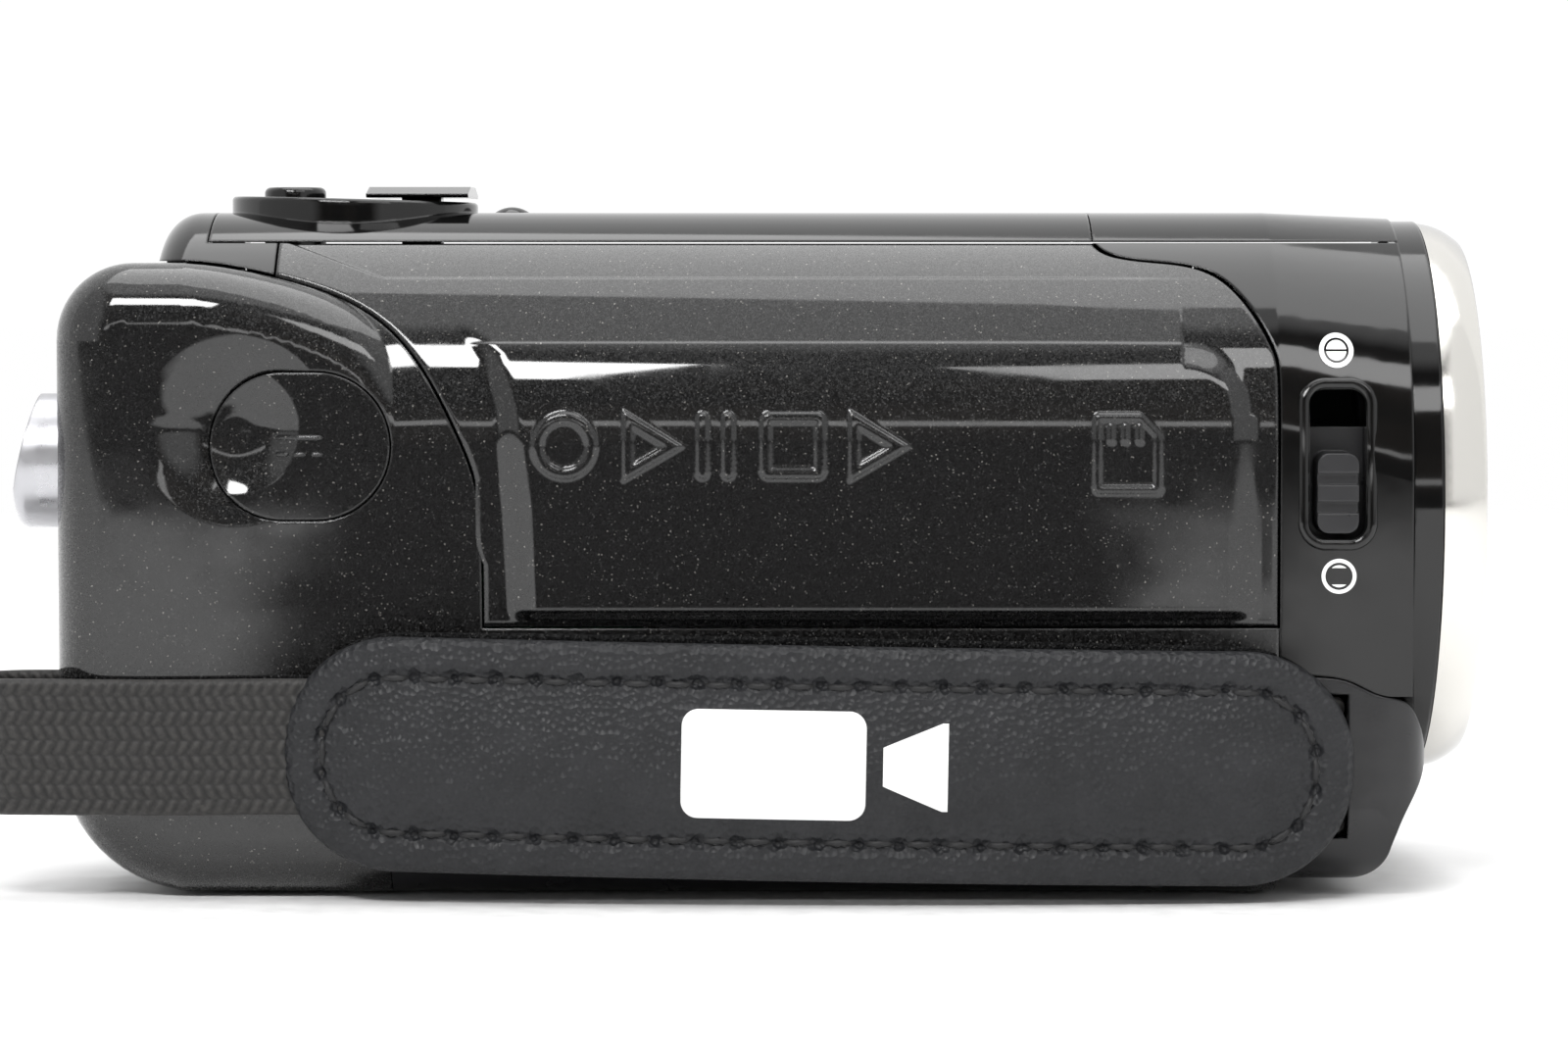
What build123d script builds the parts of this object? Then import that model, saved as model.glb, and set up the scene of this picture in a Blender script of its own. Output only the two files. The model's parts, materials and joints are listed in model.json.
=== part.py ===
from build123d import *
from math import asin, cos, sin
import os

# A pocket camcorder as an assembly of separate parts, in millimetres.
# Frame: +X points forwards through the lens, +Y to the monitor side, -Y to the hand-strap side, +Z up.
# The origin is the middle of the tripod socket's mouth, on the flat base.

os.makedirs("parts", exist_ok=True)

# ---- driving dimensions -------------------------------------------------------------------------
BODY_TOP = 53.4  # height of the top cover above the base
HALF_WIDTH = 22.5  # from the lens axis to the outside of either side
ISLAND_X, ISLAND_TOP = -35.0, 54.5  # raised disc for the controls on the top cover
WALL = 1.6  # wall of the moulded covers
SEAM = 0.06  # half of the gap along every seam between covers
GRIP_CORNER = 18.0  # radius of the top corner on the hand side
MONITOR_CORNER = 8.0  # radius of the top corner on the monitor side
BASE_CORNER = 4.5
TOP_SEAM_Z = 51.0  # where the top covers meet the side covers
LENS_Z = 30.35  # height of the lens axis

REAR_X = -49.8  # back of the main body
POD_REAR_X = -57.0  # back of the grip pod
POD_INNER_Y = -5.5
POD_TOP = 49.4
BARREL_X = 38.5  # where the front barrel begins
FRONT_X = 48.9  # front of the barrel
RING_X = 51.3  # back of the bright lens ring
NOSE_X = 54.9  # foremost point

PANEL_FOOT = 21.1  # lower edge of the hand-side panel
BASE_REAR_X, BASE_FRONT_X = -30.7, 36.5
BASE_THICK = 2.4
TOP_SPLIT_X = 24.4  # seam between the two top covers
BEZEL_X = -45.6  # seam between the rear bezel and the covers

BAY_Y = 17.2  # floor of the monitor recess
HOUSING_FRONT = 35.0  # seam between the monitor-side housing and the barrel cover
RECESS_FOOT, RECESS_TOP = 4.9, 49.1
HINGE_X, HINGE_Y = 31.0, 20.1  # monitor hinge axis, vertical
MONITOR = dict(x0=-47.0, x1=28.2, y0=17.6, y1=22.5, z0=5.3, z1=48.7)
SCREEN_X, SCREEN_Z = -10.4, 27.0  # middle of the display

SWITCH_X, SWITCH_FOOT, SWITCH_TOP = 43.0, 28.0, 39.6  # slot of the lens-cover switch
BLADE_TRAVEL = 9.4  # each blade's way from open to shut
DC_X, DC_Z, DC_LONG, DC_TALL = -37.6, 35.2, 14.3, 11.7  # opening of the power-socket cover
BATTERY = dict(x0=-54.0, x1=-33.2, y0=-4.7, y1=16.8, z0=6.5, z1=45.5)
LATCH = dict(x0=-39.4, x1=-36.4, y0=6.0, y1=10.0)  # thumb grip of the battery latch
DOOR = dict(x0=-11.5, x1=15.5, y0=-17.6, y1=-11.8)  # memory-card door in the base
BAY_BUTTONS = (14.0, 4.0, -6.0)  # power, mode and information buttons behind the monitor
BAY_BUTTON_Z = 43.5
BAY_PORTS = ((12.0, 12.0, 11.0, 3.4), (-6.0, 12.0, 7.6, 2.8), (-20.0, 12.0, 5.0, 5.0))  # x, z, long, tall
BUTTON_Y, BUTTON_Z, BUTTON_R = -13.5, 33.75, 5.3  # start and stop button
SHUTTER_X = -39.9  # snapshot button

TRIPOD_R = 2.6  # core of the quarter-inch tripod thread
VIDEO_PIN_X, VIDEO_PIN_R = 14.0, 2.3  # locating hole in front of the tripod socket
SCREWS = ((-27.5, -17.4), (-27.5, 17.4), (33.0, -17.4), (33.0, 17.4))
REAR_BAR, FRONT_BAR = (-55.2, -14.2), (41.5, -20.9)  # plan positions of the strap's bars
FAR = 200.0  # longer than anything here, for cutting tools


# ---- helpers ------------------------------------------------------------------------------------
def block(x0, x1, y0, y1, z0, z1):
    """A box given by its two corners."""
    middle = ((x0 + x1) / 2, (y0 + y1) / 2, (z0 + z1) / 2)
    return Pos(*middle) * Box(x1 - x0, y1 - y0, z1 - z0)


def rod_x(radius, x0, x1, y, z):
    """A cylinder along X."""
    return Pos((x0 + x1) / 2, y, z) * Rot(0, 90, 0) * Cylinder(radius, x1 - x0)


def rod_y(radius, x, y0, y1, z):
    """A cylinder along Y."""
    return Pos(x, (y0 + y1) / 2, z) * Rot(90, 0, 0) * Cylinder(radius, y1 - y0)


def rod_z(radius, x, y, z0, z1):
    """A cylinder along Z."""
    return Pos(x, y, (z0 + z1) / 2) * Cylinder(radius, z1 - z0)


def tube_x(outer, inner, x0, x1, y=0.0, z=LENS_Z):
    """A tube along X, on the lens axis unless another is given."""
    return rod_x(outer, x0, x1, y, z) - rod_x(inner, x0 - 1, x1 + 1, y, z)


def rounded_outline(left, right, foot, top, radii):
    """A face bounded by four lines and four arcs; radii run foot-left, foot-right, top-right, top-left."""
    fl, fr, tr, tl = radii
    edges = [
        Line((left + fl, foot), (right - fr, foot)),
        CenterArc((right - fr, foot + fr), fr, -90, 90),
        Line((right, foot + fr), (right, top - tr)),
        CenterArc((right - tr, top - tr), tr, 0, 90),
        Line((right - tr, top), (left + tl, top)),
        CenterArc((left + tl, top - tl), tl, 90, 90),
        Line((left, top - tl), (left, foot + fl)),
        CenterArc((left + fl, foot + fl), fl, 180, 90),
    ]
    return make_face(edges)


def across(x):
    """The plane at x, looking forwards, whose own axes are Y and Z."""
    return Plane(origin=(x, 0, 0), x_dir=(0, 1, 0), z_dir=(1, 0, 0))


def side_cut(face, y0, y1):
    """A side-view face, drawn in X and Z, as a solid from y0 to y1."""
    return extrude(Plane.XZ.offset(-y1) * face, amount=y1 - y0)


def capsule_plate(x, z, long, tall, radius, y0, y1):
    """A side-view plate with rounded corners, centred on x and z."""
    return side_cut(Pos(x, z) * RectangleRounded(long, tall, radius), y0, y1)


def largest(shape, count=1):
    """The biggest solids of a cut, without slivers."""
    kept = sorted(shape.solids(), key=lambda s: -s.volume)[:count]
    return kept[0] if count == 1 else Compound(kept)


nodes = {}


def keep(name, *shapes):
    """Stores a part's solid or group of solids under its name."""
    nodes[name] = shapes[0] if len(shapes) == 1 else Compound([s for x in shapes for s in x.solids()])


# ---- outer form ---------------------------------------------------------------------------------
def body_section(x, inset, at_front):
    """Cross-section of the body; the front one is nearly round to meet the lens ring."""
    top = 52.95 if at_front else BODY_TOP
    foot = 0.9 if at_front else 0.0
    corners = (6.0, 6.0, 19.5, 20.5) if at_front else (BASE_CORNER, BASE_CORNER, MONITOR_CORNER, GRIP_CORNER)
    radii = [r - inset for r in corners]
    face = rounded_outline(-HALF_WIDTH + inset, HALF_WIDTH - inset, foot + inset, top - inset, radii)
    return across(x) * face


def main_form(inset):
    """The long body, drawn in by inset on every side."""
    trunk = extrude(body_section(REAR_X + inset, inset, False), amount=BARREL_X - REAR_X - inset)
    if inset == 0:
        back = trunk.faces().sort_by(Axis.X)[0]
        trunk = fillet(back.edges(), 3.0)
    barrel = loft([body_section(BARREL_X, inset, False), body_section(FRONT_X - inset, inset, True)])
    return trunk + barrel


def crest(shift):
    """Side view of the S-shaped line between pod and panel; shift moves it down and to the back."""
    points = [(-46.8, POD_TOP), (-40.3, 48.4), (-30.4, 43.9), (-25.5, 36.3), (-23.4, PANEL_FOOT)]
    return Spline([(x - shift, z - shift) for x, z in points], tangents=[(1, -0.05), (0, -1)])


def pod_outline(inset):
    """Side view of the grip pod: round at the back, with a crest that falls away in an S to the panel."""
    rear, top, foot = POD_REAR_X + inset, POD_TOP - inset, inset
    heel, crown = 11.0 - inset, 6.0 - inset
    side, waist = -23.4 - inset, PANEL_FOOT - inset
    return make_face([
        Line((rear + heel, foot), (side, foot)),
        Line((side, foot), (side, waist)),
        crest(inset),
        Line((-46.8 - inset, top), (rear + crown, top)),
        CenterArc((rear + crown, top - crown), crown, 90, 90),
        Line((rear, top - crown), (rear, foot + heel)),
        CenterArc((rear + heel, foot + heel), heel, 180, 90),
    ])


def pod_form(inset):
    """The grip pod, rounded all round its outer side."""
    pod = side_cut(pod_outline(inset), -HALF_WIDTH + inset, POD_INNER_Y - inset)
    outer = pod.faces().sort_by(Axis.Y)[0]
    return fillet(outer.edges(), 4.8 - inset)


def shoulder(shift):
    """Side view of the line between the panel and the barrel cover; shift moves it to the back."""
    points = [(24.3, TOP_SEAM_Z + 0.4), (27.0, 49.7), (34.4, 48.1), (38.0, 43.0), (BARREL_X, 37.1)]
    return Spline([(x - shift, z - shift) for x, z in points], tangents=[(0.3, -0.9), (0, -1)])


def panel_outline(grow):
    """Side view of the flake-painted panel between the pod and the barrel, grown or shrunk by a seam."""
    top, foot, left, right = TOP_SEAM_Z + 0.4 + grow, PANEL_FOOT - grow, -23.4 - grow, BARREL_X + grow
    return make_face([
        crest(grow),
        Line((left, foot), (right, foot)),
        Line((right, foot), (right, 37.1 + grow)),
        shoulder(-grow),
        Line((24.3 + grow, top), (-46.8 - grow, top)),
        Line((-46.8 - grow, top), (-46.8 - grow, POD_TOP - grow)),
    ])


def chin_top(shift):
    """Side view of the line over the front lower cover."""
    return Spline([(47.2, 15.65 + shift), (44.0, 16.85 + shift), (40.0, 17.25 + shift)],
                  tangents=[(-1, 0.1), (-1, 0)])


def barrel_outline(grow):
    """Side view of the barrel cover; it lies over the panel's shoulder line."""
    front, foot, step = FRONT_X + 1, 15.65 - grow, 17.25 - grow
    return make_face([
        Line((20.0, TOP_SEAM_Z + grow), (front, TOP_SEAM_Z + grow)),
        Line((front, TOP_SEAM_Z + grow), (front, foot)),
        Line((front, foot), (47.2, foot)),
        chin_top(-grow),
        Line((40.0, step), (20.0, step)),
        Line((20.0, step), (20.0, TOP_SEAM_Z + grow)),
    ])


def chin_outline(inset):
    """Side view of the front lower cover, which leans back towards the base."""
    foot, front = 0.9 + inset, 50.2 - inset
    toe = CenterArc((43.9, 4.4), 3.5 - inset, -90, 76)
    return make_face([
        Line((BARREL_X, foot), (43.9, foot)),
        toe,
        Spline([toe @ 1, (front, 11.0), (49.3 - inset, 14.2), (47.2, 15.6)], tangents=[toe % 1, (-1, 0.15)]),
        chin_top(-0.05),
        Line((40.0, 17.2), (BARREL_X, 17.2)),
        Line((BARREL_X, 17.2), (BARREL_X, foot)),
    ])


main_outer, main_inner = main_form(0), main_form(WALL)
pod_outer, pod_inner = pod_form(0), pod_form(WALL)
outer_form = main_outer + pod_outer
inner_form = main_inner + pod_inner
cavity = inner_form - block(-FAR, 30.6, BAY_Y - WALL, FAR, 0, FAR)

# space that the battery slides through, open to the back
battery_space = block(-FAR, -32.9, -5.1, BAY_Y, 6.1, 45.9)


# ---- monitor recess and hinge pocket ------------------------------------------------------------
def monitor_recess():
    """Room for the closed monitor, its hinge knuckle and the arc that its front edge sweeps."""
    nose = rod_z(2.6, HINGE_X, HINGE_Y, RECESS_FOOT - 1, RECESS_TOP + 1)
    recess = block(-FAR, 28.35, BAY_Y, FAR, RECESS_FOOT, RECESS_TOP)
    groove = block(28.3, HINGE_X, HINGE_Y, FAR, RECESS_FOOT, RECESS_TOP) - nose
    knuckle = rod_z(2.9, HINGE_X, HINGE_Y, 20.4, 40.3)
    mouth = block(28.0, HINGE_X + 2.9, HINGE_Y - 2.9, FAR, 20.4, 40.3)
    return recess + groove + knuckle + mouth


recess = monitor_recess()
pin_hole = rod_z(0.95, HINGE_X, HINGE_Y, 18.2, 42.5)


# ---- covers -------------------------------------------------------------------------------------
shell = outer_form - cavity
hand_half = block(-FAR, FAR, -FAR, 0, -1, FAR)
monitor_half = block(-FAR, FAR, 0, FAR, -1, FAR)
below_top = block(-FAR, FAR, -FAR, FAR, -1, TOP_SEAM_Z - SEAM)


def top_cover():
    """Rear top cover, with a raised disc for the controls."""
    lid = shell & block(BEZEL_X + SEAM, TOP_SPLIT_X - SEAM, -FAR, FAR, TOP_SEAM_Z + SEAM, FAR)
    disc = rod_z(10.0, ISLAND_X, 0, 52.2, 58)
    slope = Pos(ISLAND_X, 0, ISLAND_TOP) * Rot(0, 1.5, 0) * Pos(0, 0, 10) * Box(60, 60, 20)
    island = disc - slope
    island = fillet(island.faces().sort_by(Axis.Z)[-1].edges(), 0.35)
    finger_stop = Pos(-22.2, 0, 51.5) * Sphere(2.4)
    lid += island + (finger_stop & block(-FAR, FAR, -FAR, FAR, 53, 60))
    lid -= rod_z(2.65, SHUTTER_X, 0, 50, 60)
    lid -= block(-31.4, -27.6, -3.7, 3.7, 50, 60)
    return largest(lid)


def front_top_cover():
    """Top cover over the lens barrel."""
    lid = shell & block(TOP_SPLIT_X + SEAM, FRONT_X, -FAR, FAR, TOP_SEAM_Z + SEAM, FAR)
    return largest(lid - rod_x(21.0, 45, 52, 0, LENS_Z))


def rear_bezel():
    """End cap round the battery opening."""
    end = block(-FAR, BEZEL_X - SEAM, -FAR, FAR, -1, FAR)
    corner = block(BEZEL_X - 1, -40.0 - SEAM, -FAR, -10.0, 47.0, TOP_SEAM_Z - SEAM)
    cap = (main_outer - cavity) & (end + corner)
    cap -= side_cut(pod_outline(-2 * SEAM), -FAR, POD_INNER_Y + SEAM)
    cap -= battery_space + recess
    cap -= block(-FAR, FAR, -FAR, FAR, -1, 2.5)
    return largest(cap)


def side_panel():
    """Painted hand-side panel with a raised pillow."""
    panel = (main_outer - cavity) & side_cut(panel_outline(-SEAM), -FAR, 0)
    panel &= block(-40.0 + SEAM, FAR, -FAR, FAR, 0, TOP_SEAM_Z - SEAM)
    radii = (BASE_CORNER, BASE_CORNER, MONITOR_CORNER, GRIP_CORNER)
    proud = across(-40) * rounded_outline(-HALF_WIDTH - 0.8, HALF_WIDTH, 0, BODY_TOP, radii)
    field = side_cut(Pos(6.0, 34.3) * RectangleRounded(60.0, 23.4, 6.0), -FAR, 0)
    return largest(panel + ((extrude(proud, amount=80) - main_outer) & field))


def finger_scoop(proud=0.0):
    """The soft-lipped hollow beside the socket cover; proud leaves that much more of it standing."""
    deep, reach = 1.5, 7.6
    bowl = Spline([(0, deep), (3.0, 0.86 * deep), (5.2, 0.34 * deep), (reach, -0.02)],
                  tangents=[(1, 0), (1, -0.12)])
    profile = make_face([
        bowl,
        Line((reach, -0.02), (reach, -2)),
        Line((reach, -2), (0, -2)),
        Line((0, -2), (0, deep)),
    ])
    return Pos(-42.6, -HALF_WIDTH - proud, 36.4) * revolve(profile, Axis.Y)


def right_housing():
    """Hand-side housing: the pod that holds the power socket, and the band below the panel."""
    house = shell & hand_half & below_top
    house &= side_cut(pod_outline(0), -FAR, POD_INNER_Y) + block(-24, BARREL_X - SEAM, -FAR, 0, -1, 30)
    house -= side_cut(panel_outline(SEAM), -FAR, 0)
    house -= block(BASE_REAR_X, BASE_FRONT_X, -FAR, FAR, -1, BASE_THICK + SEAM)
    inner_wall = block(-51, -27, -21.2, -19.6, 26, 45) & inner_form
    house += inner_wall & side_cut(pod_outline(WALL), -FAR, 0)
    lugs = block(-55.9, -53.9, REAR_BAR[1] - 2, REAR_BAR[1] + 2, 18.0, 20.0)
    lugs += block(-55.9, -53.9, REAR_BAR[1] - 2, REAR_BAR[1] + 2, 3.5, 5.9)
    house += lugs & pod_outer
    house -= capsule_plate(DC_X, DC_Z, DC_LONG, DC_TALL, 5.84, -FAR, -20.7)
    house -= rod_y(2.7, DC_X, -30, -15, DC_Z)
    house -= finger_scoop()
    for x, y in SCREWS[::2]:
        house += block(x - 2.3, x + 2.3, -21.2, -15.2, BASE_THICK + SEAM, 8.0)
        house -= rod_z(0.9, x, y, 0, 7.0)
    house -= rod_x(BUTTON_R + 0.15, -60, -50, BUTTON_Y, BUTTON_Z)
    bx, by = REAR_BAR
    house -= block(-60, -54.0, by - 3.1, by + 2.9, 5.9, 18.0) + rod_z(0.91, bx, by, 4.9, 19.0)
    house -= rod_x(0.85, -60, -50, -13.5, 43.4) + rod_x(0.85, -60, -50, -10.0, 43.4)
    return largest(house)


def barrel_cover():
    """Cover round the lens barrel, open at the top, with the slot of the lens switch."""
    cover = (main_outer - cavity) & side_cut(barrel_outline(-SEAM), -FAR, FAR)
    cover -= side_cut(panel_outline(SEAM), -FAR, 0.0)
    cover -= block(-FAR, BARREL_X, -FAR, 0, -1, PANEL_FOOT + SEAM)
    cover -= block(-FAR, HOUSING_FRONT + SEAM, 0, FAR, -1, FAR)
    cover -= rod_x(20.0, 45, 52, 0, LENS_Z)
    middle, tall = (SWITCH_FOOT + SWITCH_TOP) / 2, SWITCH_TOP - SWITCH_FOOT
    slot = capsule_plate(SWITCH_X, middle, 4.4, tall, 1.2, -FAR, -15)
    return largest(cover - slot - recess - pin_hole)


def left_housing():
    """Monitor-side housing: recess floor, button and socket openings, and the rim round the monitor."""
    house = shell & monitor_half & below_top
    lower = block(BEZEL_X + SEAM, BARREL_X - SEAM, 0, FAR, -1, 17.2)
    house &= lower + block(BEZEL_X + SEAM, HOUSING_FRONT - SEAM, 0, FAR, 17, FAR)
    floor = block(BEZEL_X + SEAM, 30.6, BAY_Y - WALL, BAY_Y, RECESS_FOOT - WALL, RECESS_TOP + 0.5)
    house += floor & main_outer & below_top
    house -= recess + pin_hole + battery_space
    house -= block(LATCH["x0"] - 0.1, LATCH["x1"] + 2.7, LATCH["y0"] - 0.1, LATCH["y1"] + 0.1, -1, 3)
    for x, y in SCREWS[1::2]:
        house -= rod_z(0.9, x, y, 0, 4.5)
    house -= block(BASE_REAR_X, BASE_FRONT_X, -FAR, FAR, -1, BASE_THICK + SEAM)
    for x in BAY_BUTTONS:
        house -= rod_y(2.55, x, 14, 18, BAY_BUTTON_Z)
    for x, z, long, tall in BAY_PORTS:
        house -= capsule_plate(x, z, long + 0.5, tall + 0.5, min(long, tall) / 2 + 0.2, 14, 18)
    return largest(house)


def base_cover():
    """Flat base with the tripod socket, the locating hole, the card opening and the sound holes."""
    plate = (main_outer - cavity) & block(
        BASE_REAR_X + SEAM, BASE_FRONT_X - SEAM, -FAR, FAR, -1, BASE_THICK - SEAM)
    plate += rod_z(4.6, VIDEO_PIN_X, 0, 1.0, 5.5)
    plate -= rod_z(6.1, 0, 0, -1, 3)
    plate -= rod_z(VIDEO_PIN_R, VIDEO_PIN_X, 0, -1, 4.2)
    plate -= block(DOOR["x0"] - 0.15, DOOR["x1"] + 0.15, DOOR["y0"] - 0.15, DOOR["y1"] + 1.3, -1, 3)
    plate -= rod_x(0.42, DOOR["x0"] - 1.1, DOOR["x1"] + 1.1, DOOR["y1"], 1.1)
    for row in range(3):
        for column in range(5):
            plate -= rod_z(0.55, -22 + 2.2 * column, 5.0 + 2.2 * row, -1, 3)
    for x, y in SCREWS:
        plate -= rod_z(1.9, x, y, -1, 1.2) + rod_z(0.95, x, y, -1, 3)
    return largest(plate)


def front_lower_cover():
    """Chin below the lens: leans back to the base and carries the sound slots of the microphones."""
    around = extrude(across(BARREL_X + SEAM) * rounded_outline(
        -HALF_WIDTH, HALF_WIDTH, 0.9, 60, (6, 6, 6, 6)), amount=20)
    plan = fillet(block(20, 50.3, -HALF_WIDTH, HALF_WIDTH, 0, 40).edges().filter_by(Axis.Z), 4.0)
    chin = around & side_cut(chin_outline(0), -FAR, FAR) & plan
    inside = extrude(across(BARREL_X) * rounded_outline(
        -HALF_WIDTH + WALL, HALF_WIDTH - WALL, 2.5, 60, (4.4, 4.4, 6, 6)), amount=20)
    chin -= inside & side_cut(chin_outline(WALL), -FAR, FAR) & block(-FAR, 48.6, -FAR, FAR, -1, 40)
    chin -= rod_x(22.62, FRONT_X - 2.0, NOSE_X + 5, 0, LENS_Z)
    for side in (-1, 1):
        for row in range(3):
            chin -= block(40, 60, side * 7 - 3.2, side * 7 + 3.2, 3.6 + 1.5 * row, 4.2 + 1.5 * row)
    chin -= block(FRONT_BAR[0] - 2.4, FRONT_BAR[0] + 2.4, -FAR, -18.4, 4.6, 15.9)
    return largest(chin)


keep("top_cover", top_cover())
keep("front_top_cover", front_top_cover())
keep("rear_bezel", rear_bezel())
keep("side_panel", side_panel())
keep("right_housing", right_housing())
keep("barrel_cover", barrel_cover())
keep("left_housing", left_housing())
keep("base_cover", base_cover())
keep("front_lower_cover", front_lower_cover())


# ---- lens front ---------------------------------------------------------------------------------
LENS_AXIS = Axis((0, 0, LENS_Z), (1, 0, 0))


def turned(points):
    """A solid of revolution about the lens axis from (x, radius) points joined by straight lines."""
    profile = make_face(Polyline(*[(x, LENS_Z + r) for x, r in points], close=True))
    return revolve(Plane.XZ * profile, LENS_AXIS)


def front_ring():
    """Black ring behind the bright one."""
    return tube_x(22.4, 20.9, FRONT_X + SEAM, RING_X - SEAM)


def lens_ring():
    """Bright ring with a rounded brow, open to the lens dish."""
    brow = make_face([
        Line((RING_X + SEAM, LENS_Z + 19.0), (RING_X + SEAM, LENS_Z + 22.25)),
        Spline([(RING_X + SEAM, LENS_Z + 22.25), (53.2, LENS_Z + 21.8), (54.5, LENS_Z + 21.0),
                (NOSE_X, LENS_Z + 20.2)], tangents=[(1, -0.1), (0, -1)]),
        Line((NOSE_X, LENS_Z + 20.2), (54.2, LENS_Z + 19.0)),
        Line((54.2, LENS_Z + 19.0), (RING_X + SEAM, LENS_Z + 19.0)),
    ])
    return revolve(Plane.XZ * brow, LENS_AXIS)


def lens_dish():
    """Shallow funnel from the bright ring down to the lens opening."""
    return turned([
        (54.0, 18.9), (51.3, 18.9), (51.3, 20.7), (50.3, 20.7), (50.3, 18.0), (49.5, 10.6), (49.5, 9.3),
        (50.4, 9.3), (50.6, 10.4), (53.0, 17.6)])


def shutter_plate():
    """Plate that the blades of the lens cover slide on."""
    return tube_x(19.9, 9.4, 47.5, 48.2)


def shutter_blade(side):
    """Half of the lens cover; side is 1 for the upper blade, and it rests clear of the opening."""
    plate = block(48.35, 48.95, -10.2, 10.2, 0.06, 9.7)
    plate = fillet(plate.edges().filter_by(Axis.X).group_by(Axis.Z)[-1], 5.5)
    closed = Pos(0, 0, LENS_Z) * plate
    shown = closed if side == 1 else mirror(closed, Plane.XY.offset(LENS_Z))
    return Pos(0, 0, side * BLADE_TRAVEL) * shown


def lens_switch():
    """Knob with two grip grooves on a slide that fills the slot behind it."""
    middle = SWITCH_FOOT + 3.55
    knob = capsule_plate(SWITCH_X, middle, 3.2, 6.2, 0.9, -22.75, -18.7)
    for step in (-1.1, 1.1):
        knob -= block(40, 46, -23.5, -22.25, middle + step - 0.45, middle + step + 0.45)
    return knob + block(40.4, 45.4, -18.8, -18.2, SWITCH_FOOT - 1.2, SWITCH_TOP - 3.0)


keep("front_ring", front_ring())
keep("lens_ring", lens_ring())
keep("lens_dish", lens_dish())
keep("shutter_plate", shutter_plate())
keep("upper_shutter_blade", shutter_blade(1))
keep("lower_shutter_blade", shutter_blade(-1))
keep("lens_switch", lens_switch())


# ---- lens unit ----------------------------------------------------------------------------------
ROD_R, ROD_OFF = 0.75, 9.8  # guide rods, and their distance from the lens axis


def lens_barrel():
    """Tube that holds the lenses, with a flange at the front and a stepped end at the back."""
    tube = tube_x(13.4, 11.6, 3.0, 46.8) + tube_x(16.5, 9.6, 45.4, 47.2)
    return tube + tube_x(13.4, 5.2, 2.0, 3.4)


def front_lens():
    """The big front lens: flat back, domed front."""
    back, front, radius, rise = 40.5, 45.8, 9.4, 2.6
    ball = (radius**2 + rise**2) / (2 * rise)
    half = asin(radius / ball) / 2
    halfway = (front - ball + ball * cos(half), LENS_Z + ball * sin(half))
    profile = make_face([
        Line((back, LENS_Z), (back, LENS_Z + radius)),
        Line((back, LENS_Z + radius), (front - rise, LENS_Z + radius)),
        ThreePointArc((front - rise, LENS_Z + radius), halfway, (front, LENS_Z)),
        Line((front, LENS_Z), (back, LENS_Z)),
    ])
    return revolve(Plane.XZ * profile, LENS_AXIS)


def carriage(x0, x1, glass_r):
    """A lens carriage with two ears that run on the guide rods."""
    ring = tube_x(8.4, glass_r, x0, x1)
    ring += block(x0, x1, -1.6, 1.6, LENS_Z + 8.0, LENS_Z + 11.2)
    ring += block(x0, x1, -1.6, 1.6, LENS_Z - 11.2, LENS_Z - 8.0)
    for side in (-1, 1):
        ring -= rod_x(ROD_R + 0.05, x0 - 1, x1 + 1, 0, LENS_Z + side * ROD_OFF)
    return ring


def lens_motor(y):
    """A small stepping motor with its shaft."""
    return rod_x(3.6, -9.0, 0.5, y, LENS_Z + 9.0) + rod_x(0.7, 0.4, 1.8, y, LENS_Z + 9.0)


keep("lens_barrel", lens_barrel())
keep("front_lens", front_lens())
keep("zoom_carriage", carriage(14.0, 19.0, 6.5))
keep("zoom_lens", rod_x(6.45, 14.5, 18.5, 0, LENS_Z))
keep("focus_carriage", carriage(5.0, 8.5, 5.0))
keep("focus_lens", rod_x(4.95, 5.4, 8.1, 0, LENS_Z))
keep("guide_rods", *[rod_x(ROD_R, 3.5, 35.3, 0, LENS_Z + side * ROD_OFF) for side in (-1, 1)])
keep("lens_motors", lens_motor(-9.0), lens_motor(9.0))
keep("image_sensor", block(0.9, 1.9, -4.0, 4.0, LENS_Z - 3.2, LENS_Z + 3.2))
keep("sensor_board", block(0.1, 0.8, -8.5, 8.5, LENS_Z - 8.0, LENS_Z + 4.8))


# ---- electronics and frame ----------------------------------------------------------------------
def main_board():
    """Main circuit board with its larger chips and the three switches behind the bay buttons."""
    board = block(-30.5, 27.0, 14.1, 14.9, 4.5, 48.0)
    for x, z, long, tall in ((-20, 30, 11, 11), (-20, 16, 8, 8), (-7, 40, 9, 7)):
        board += block(x - long / 2, x + long / 2, 13.3, 14.1, z - tall / 2, z + tall / 2)
    for x in BAY_BUTTONS:
        board += rod_y(1.6, x, 14.9, 15.2, BAY_BUTTON_Z)
    return board


def side_socket(x, z, long, tall):
    """One of the sockets in the monitor bay."""
    case = capsule_plate(x, z, long, tall, min(long, tall) / 2 - 0.3, 15.0, 17.0)
    return case - capsule_plate(x, z, long - 0.9, tall - 0.9, min(long, tall) / 2 - 0.75, 15.6, 18.0)


def power_socket():
    """Power jack behind the socket cover, with its centre pin."""
    case = block(-42.3, -32.9, -19.3, -8.7, 30.6, 39.8) - rod_y(2.1, DC_X, -20, -10.5, DC_Z)
    return case + rod_y(0.5, DC_X, -18.2, -10.0, DC_Z)


def card_socket():
    """Metal cage that takes the memory card through the base."""
    return block(-11.0, 15.0, -19.0, -14.6, 4.0, 30.0) - block(-10.2, 14.2, -18.0, -15.6, 3.0, 28.5)


def tripod_nut():
    """Blind threaded insert flush with the base."""
    return rod_z(6.0, 0, 0, 0.0, 6.5) - rod_z(TRIPOD_R, 0, 0, -1, 6.0)


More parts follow.
